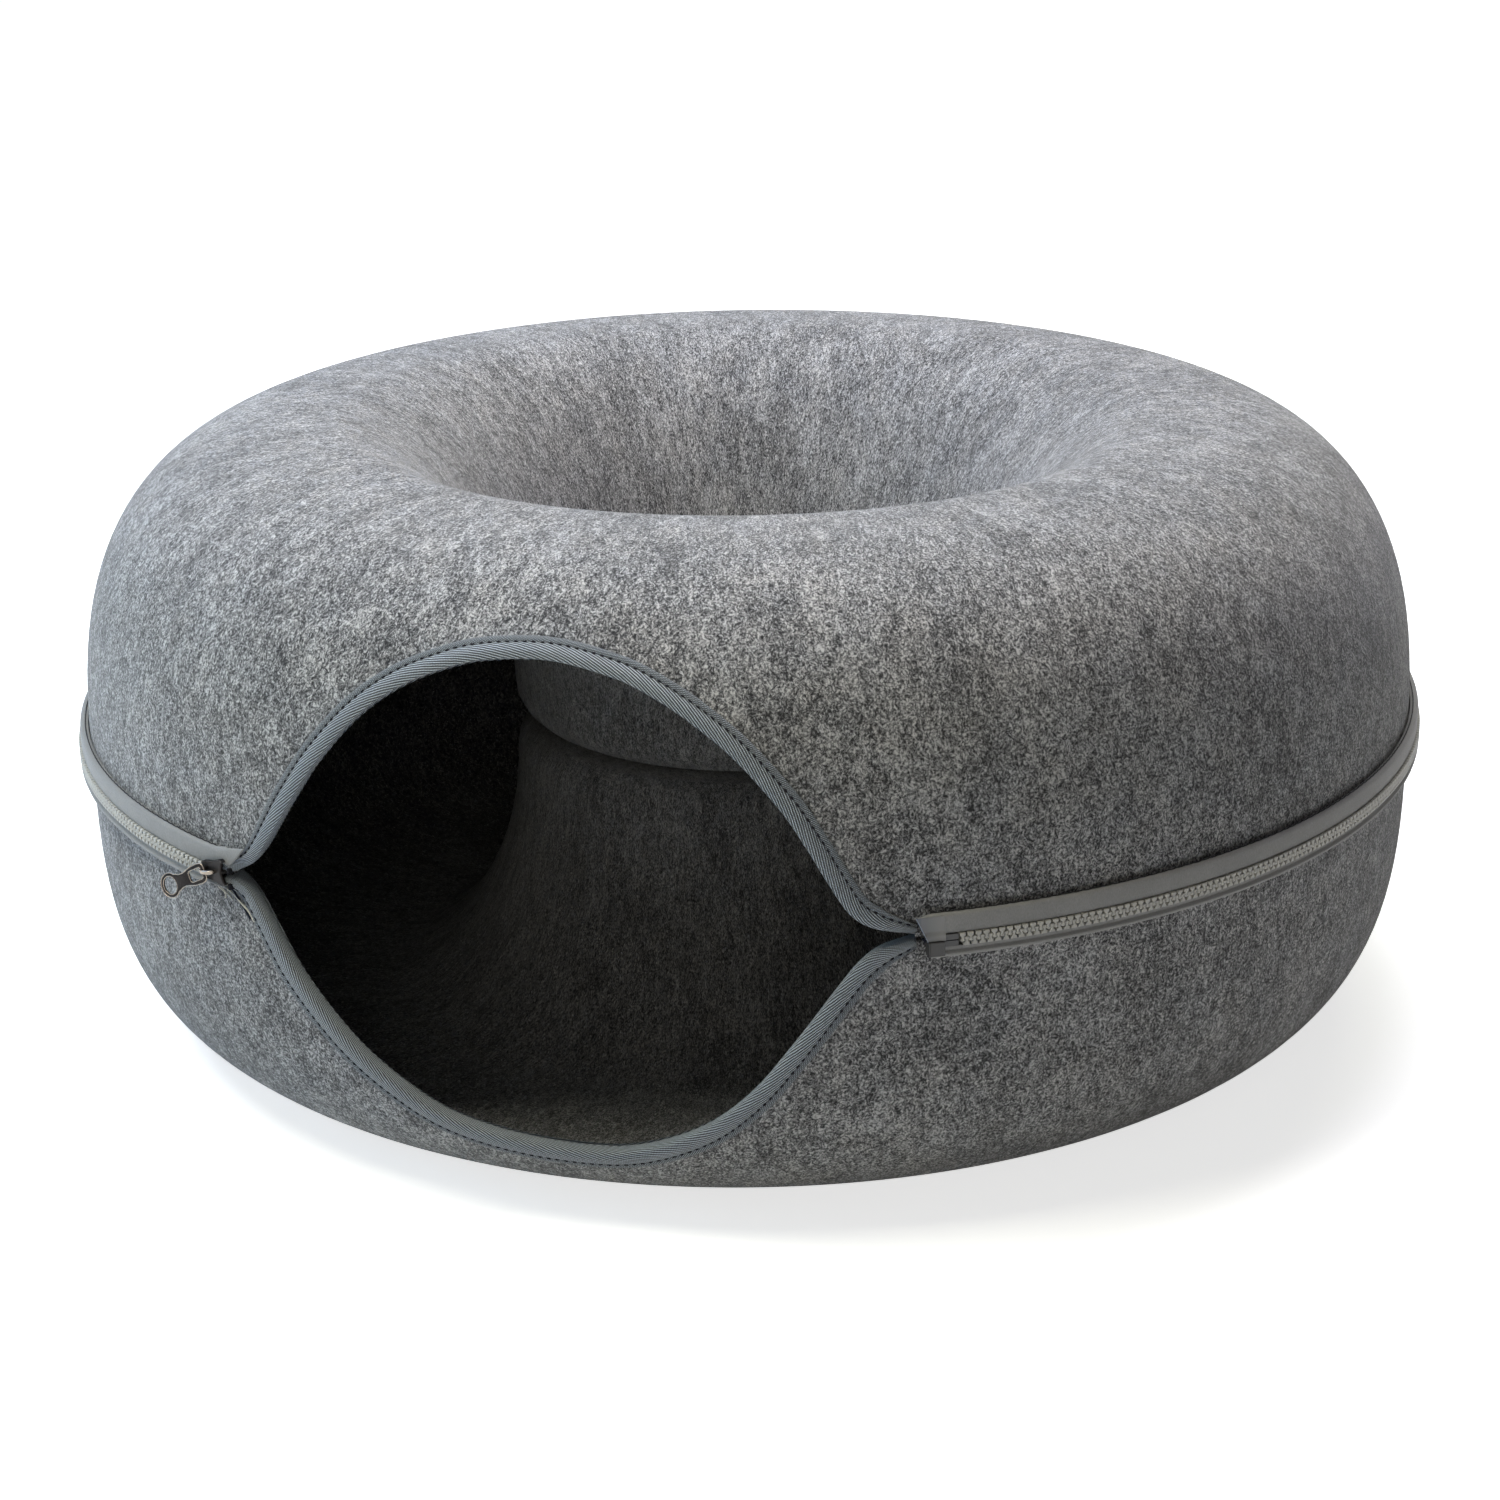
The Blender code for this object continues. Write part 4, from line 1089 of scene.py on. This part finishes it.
class TUNNEL_OT_bindings(bpy.types.Operator):
    """Fold the twill bindings over the cut edges and sew them down"""

    bl_idname = "tunnel.bindings"
    bl_label = "Entrance bindings"

    def execute(self, context):
        s = context.scene.tunnel_sizes
        cloth = binding_material("binding_twill", context.scene.tunnel_finish)
        thread = thread_material("stitch_thread", (0.009, 0.009, 0.012))
        for side, name, body in ((1, "upper", "upper_half"), (-1, "lower", "lower_half")):
            stations = binding_stations(s, side)
            binding = folded_tape(name + "_binding", s, side, stations)
            paint(binding, cloth)
            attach(binding, body)
            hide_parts(name + "_entrance_binding")
            dark_line = stitch_row(name + "_stitches", s, stations)
            paint(dark_line, thread)
            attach(dark_line, body)
        self.ends(s)
        return {"FINISHED"}

    def ends(self, s):
        """The lower binding's ends, with near-black beads as painted shadow and tucked folds, and the thread
        ends beside the slider.
        """
        # Near-black navy beads: at the left a painted shadow line where the binding's edge lifts off the
        # felt, at the right a tucked fold of tape darkened as painted shade.
        shadow_navy = thread_material("tucked_end_shade", (0.010, 0.012, 0.020))
        pale = thread_material("loose_thread", (0.50, 0.48, 0.42))
        shadow_tucks = (
            ((-144.6, -1.8), (-142.8, -3.8), (-140.4, -6.6), (-137.4, -9.8), (-134, -13.6), (-131.6, -16.6)),
            ((141.4, 0.2), (143.2, -2.4), (143.9, -5.0), (143.3, -7.4)),
        )
        threads = (
            ((-146.6, -6.0), (-140.4, -8.0), (-135.2, -11.4), (-132.2, -13.2), (-129.2, -17.2)),
            ((-147.8, -6.3), (-145.6, -8.0), (-144.7, -9.6), (-145.0, -11.4)),
            ((-149.6, -6.5), (-146.8, -8.2), (-143.4, -9.0), (-140.4, -11.0)),
        )
        for name, lines, width, lift, cloth in (
            ("tucked_ends_and_shadow", shadow_tucks, 0.5, 0.9, shadow_navy), ("thread_ends", threads, 0.34, 1.2, pale)):
            loops = []
            for line in lines:
                points = smooth_points([Vector((x * MM, z * MM)) for x, z in line], 6)
                spots = [felt_point(s, *p) for p in points]
                loops.append([place + out * (lift * MM) for place, out in spots])
            piece = bead(name, loops, width * MM)
            paint(piece, cloth)
            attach(piece, "lower_half")


class TUNNEL_OT_zip(bpy.types.Operator):
    """Sew the zip's tapes round the rims and mould the teeth on them"""

    bl_idname = "tunnel.zip"
    bl_label = "Zip tapes and teeth"

    def execute(self, context):
        colours = context.scene.tunnel_finish
        cloth = tape_material("zip_tape", colours)
        # A dark bead painted as the shadow line along the upper tape's top edge.
        dark_line = upper_shadow_line()
        paint(dark_line, thread_material("shadow_line_dark", (0.030, 0.030, 0.032)))
        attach(dark_line, "upper_half")
        for side, name, body in ((1, "upper", "upper_half"), (-1, "lower", "lower_half")):
            tape = zip_tape(name + "_tape", side)
            paint(tape, cloth)
            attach(tape, body)
            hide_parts(name + "_zip_tape")
            teeth = zip_teeth(name + "_teeth", side)
            # The lower row's resin is painted 3 percent darker than the upper row's, as painted shade.
            paint(teeth, resin_material(name + "_teeth_resin", colours, 1.0 if side > 0 else 0.97))
            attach(teeth, body)
            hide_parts(name + "_zip_teeth")
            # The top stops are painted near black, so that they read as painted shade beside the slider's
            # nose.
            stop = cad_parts[name + "_top_stop"]
            stop.material_slots[0].material = thread_material(name + "_stop_painted_shade", (0.006, 0.006, 0.008))
        return {"FINISHED"}


class TUNNEL_OT_slider(bpy.types.Operator):
    """Cast the slider, its crown and the pull that hangs askew from it"""

    bl_idname = "tunnel.slider"
    bl_label = "Slider and pull"

    def execute(self, context):
        metal = context.scene.tunnel_finish.metal
        # The slider's gunmetal is painted darker than the pull's, as painted shade.
        shaded_plating = metal_material("slider_gunmetal_shaded", tuple(0.32 * c for c in metal), 0.38, 0.06)
        # The crown is painted a pale golden metal, partly its own colour and partly a painted highlight on
        # its arch.
        crown_highlight = metal_material("crown_metal_highlight", (0.27, 0.23, 0.19), 0.22, 0.25)
        for piece, coat, node, slot in (
            (slider_body(), shaded_plating, "slider_body", "slider_metal"),
            (slider_crown(), crown_highlight, "slider_bridge", "bridge_metal"),
        ):
            paint(piece, coat)
            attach(piece, "slider")
            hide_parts(node)
        pull, rims = slider_pull()
        paint(pull, metal_material("pull_gunmetal", tuple(0.38 * c for c in metal), 0.27, 0.08))
        # The rims are painted a pale metal: partly worn nickel, partly a painted highlight along the raised
        # edges.
        paint(rims, metal_material("pull_rim_wear_and_highlight", (0.24, 0.20, 0.16), 0.24, 0.2))
        for piece in (pull, rims):
            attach(piece, "pull")
        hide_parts("pull_tab")
        return {"FINISHED"}


class TUNNEL_OT_box(bpy.types.Operator):
    """Mould the retainer box and finish the pins and the film beside it"""

    bl_idname = "tunnel.box"
    bl_label = "Retainer box and pins"

    def execute(self, context):
        colours = context.scene.tunnel_finish
        box = retainer_box()
        paint(box, plastic_material("box_grey", tuple(colours.box), 0.5))
        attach(box, "lower_half")
        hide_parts("retainer_box")
        film, edge = tape_film()
        paint(film, film_material("film_gloss", colours))
        # The film's edge bead is painted a pale bluish plastic, as a painted highlight along the edge.
        paint(edge, plastic_material("film_edge_highlight", (0.200, 0.235, 0.300), 0.25))
        for piece in (film, edge):
            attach(piece, "upper_half")
        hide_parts("tape_film")
        for name, tone in (("insertion_pin", 0.036), ("box_pin", 0.024)):
            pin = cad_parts[name]
            pin.material_slots[0].material = plastic_material(name + "_grey", (tone, tone, tone), 0.45)
        return {"FINISHED"}


class TUNNEL_OT_studio(bpy.types.Operator):
    """Set the pale floor, the soft lamps and the camera"""

    bl_idname = "tunnel.studio"
    bl_label = "Studio"

    def execute(self, context):
        start_clean()
        bpy.ops.mesh.primitive_plane_add(size=12.0, location=(0.0, 0.0, STANDING_Z - 0.4 * MM))
        floor = bpy.context.object
        floor.name = "studio_floor"
        white = (1.0, 1.0, 1.0, 1.0)
        n = surface("pale_floor", 0.9, base=(0.86, 0.86, 0.86, 1.0), specular=0.0, emission=white)
        away = n.add("VectorMath", {0: n.place()}, operation="LENGTH").outputs["Value"]
        glow = n.add(
            "MapRange", {"Value": away, 1: 0.8, 2: 2.0, 3: 0.72, 4: 1.0}, interpolation_type="SMOOTHSTEP")
        n.drive("Emission Strength", n.times(n.seen(), glow))
        paint(floor, n.owner)

        sky = Nodes(bpy.data.worlds.new("studio"), "Background")
        context.scene.world = sky.owner
        sky.shader.inputs["Color"].default_value = white
        level = sky.add("MapRange", {"Value": sky.seen(), "To Min": 0.02, "To Max": 1.0})
        sky.drive("Strength", level)

        for name, place, size, power, colour in (
            ("back_lamp", (0.2, 1.7, 1.6), 1.4, 16.4, (1.0, 1.01, 0.84)),
            ("near_lamp", (-0.5, -0.5, 1.2), 0.8, 16.3, (1.02, 1.0, 0.84)),
            ("side_lamp", (-0.9, 0.1, 1.0), 0.8, 5.4, (0.58, 0.91, 1.60)),
            ("left_lamp", (-1.6, -0.6, 0.45), 1.0, 4.0, (0.40, 0.95, 1.50)),
            ("bowl_lamp", (0.1, 0.2, 1.0), 0.6, 8.2, (1.0, 0.98, 1.12)),
            ("front_lamp", (0.3, -2.4, 0.7), 1.4, 4.1, (1.05, 1.0, 0.90)),
        ):
            disk = {"shape": "DISK", "size": size, "energy": power, "color": colour}
            lamp = link(name, assign(bpy.data.lights.new(name, "AREA"), disk))
            lamp.location = place
            lamp.rotation_euler = (-Vector(place)).to_track_quat("-Z", "Y").to_euler()
        context.scene.view_settings.view_transform = "Standard"
        self.camera(context)
        return {"FINISHED"}

    def camera(self, context):
        """The photo's view, turned a little about its own axis."""
        lens = {"lens": 76.81, "sensor_width": 36.0, "shift_x": 0.0002, "shift_y": -0.0026}
        camera = link("photo_camera", assign(bpy.data.cameras.new("photo_camera"), lens))
        place = Vector((0.38313, -1.35395, 0.47610))
        aim = (Vector((0.0, 0.0, -0.0265)) - place).to_track_quat("-Z", "Y").to_matrix().to_4x4()
        roll = Matrix.Rotation(math.radians(-0.88), 4, "Z")
        camera.matrix_world = Matrix.Translation(place) @ aim @ roll
        context.scene.camera = camera


class TUNNEL_PT_panel(bpy.types.Panel):
    """Lists the tunnel's pieces"""

    bl_idname = "TUNNEL_PT_panel"
    bl_label = "Donut Cat Tunnel"
    bl_space_type = "VIEW_3D"
    bl_region_type = "UI"
    bl_category = "Tunnel"

    def draw(self, context):
        for cls in OPERATORS:
            self.layout.operator(cls.bl_idname)


OPERATORS = (
    TUNNEL_OT_felt, TUNNEL_OT_bindings, TUNNEL_OT_zip, TUNNEL_OT_slider, TUNNEL_OT_box, TUNNEL_OT_studio)
CLASSES = (TunnelSizes, TunnelFinish, *OPERATORS, TUNNEL_PT_panel)


def register():
    for cls in CLASSES:
        bpy.utils.register_class(cls)
    bpy.types.Scene.tunnel_sizes = bpy.props.PointerProperty(type=TunnelSizes)
    bpy.types.Scene.tunnel_finish = bpy.props.PointerProperty(type=TunnelFinish)


def unregister():
    del bpy.types.Scene.tunnel_finish
    del bpy.types.Scene.tunnel_sizes
    for cls in reversed(CLASSES):
        bpy.utils.unregister_class(cls)


def main():
    register()
    bpy.ops.tunnel.felt()
    bpy.ops.tunnel.bindings()
    bpy.ops.tunnel.zip()
    bpy.ops.tunnel.slider()
    bpy.ops.tunnel.box()
    bpy.ops.tunnel.studio()


if __name__ == "__main__":
    main()
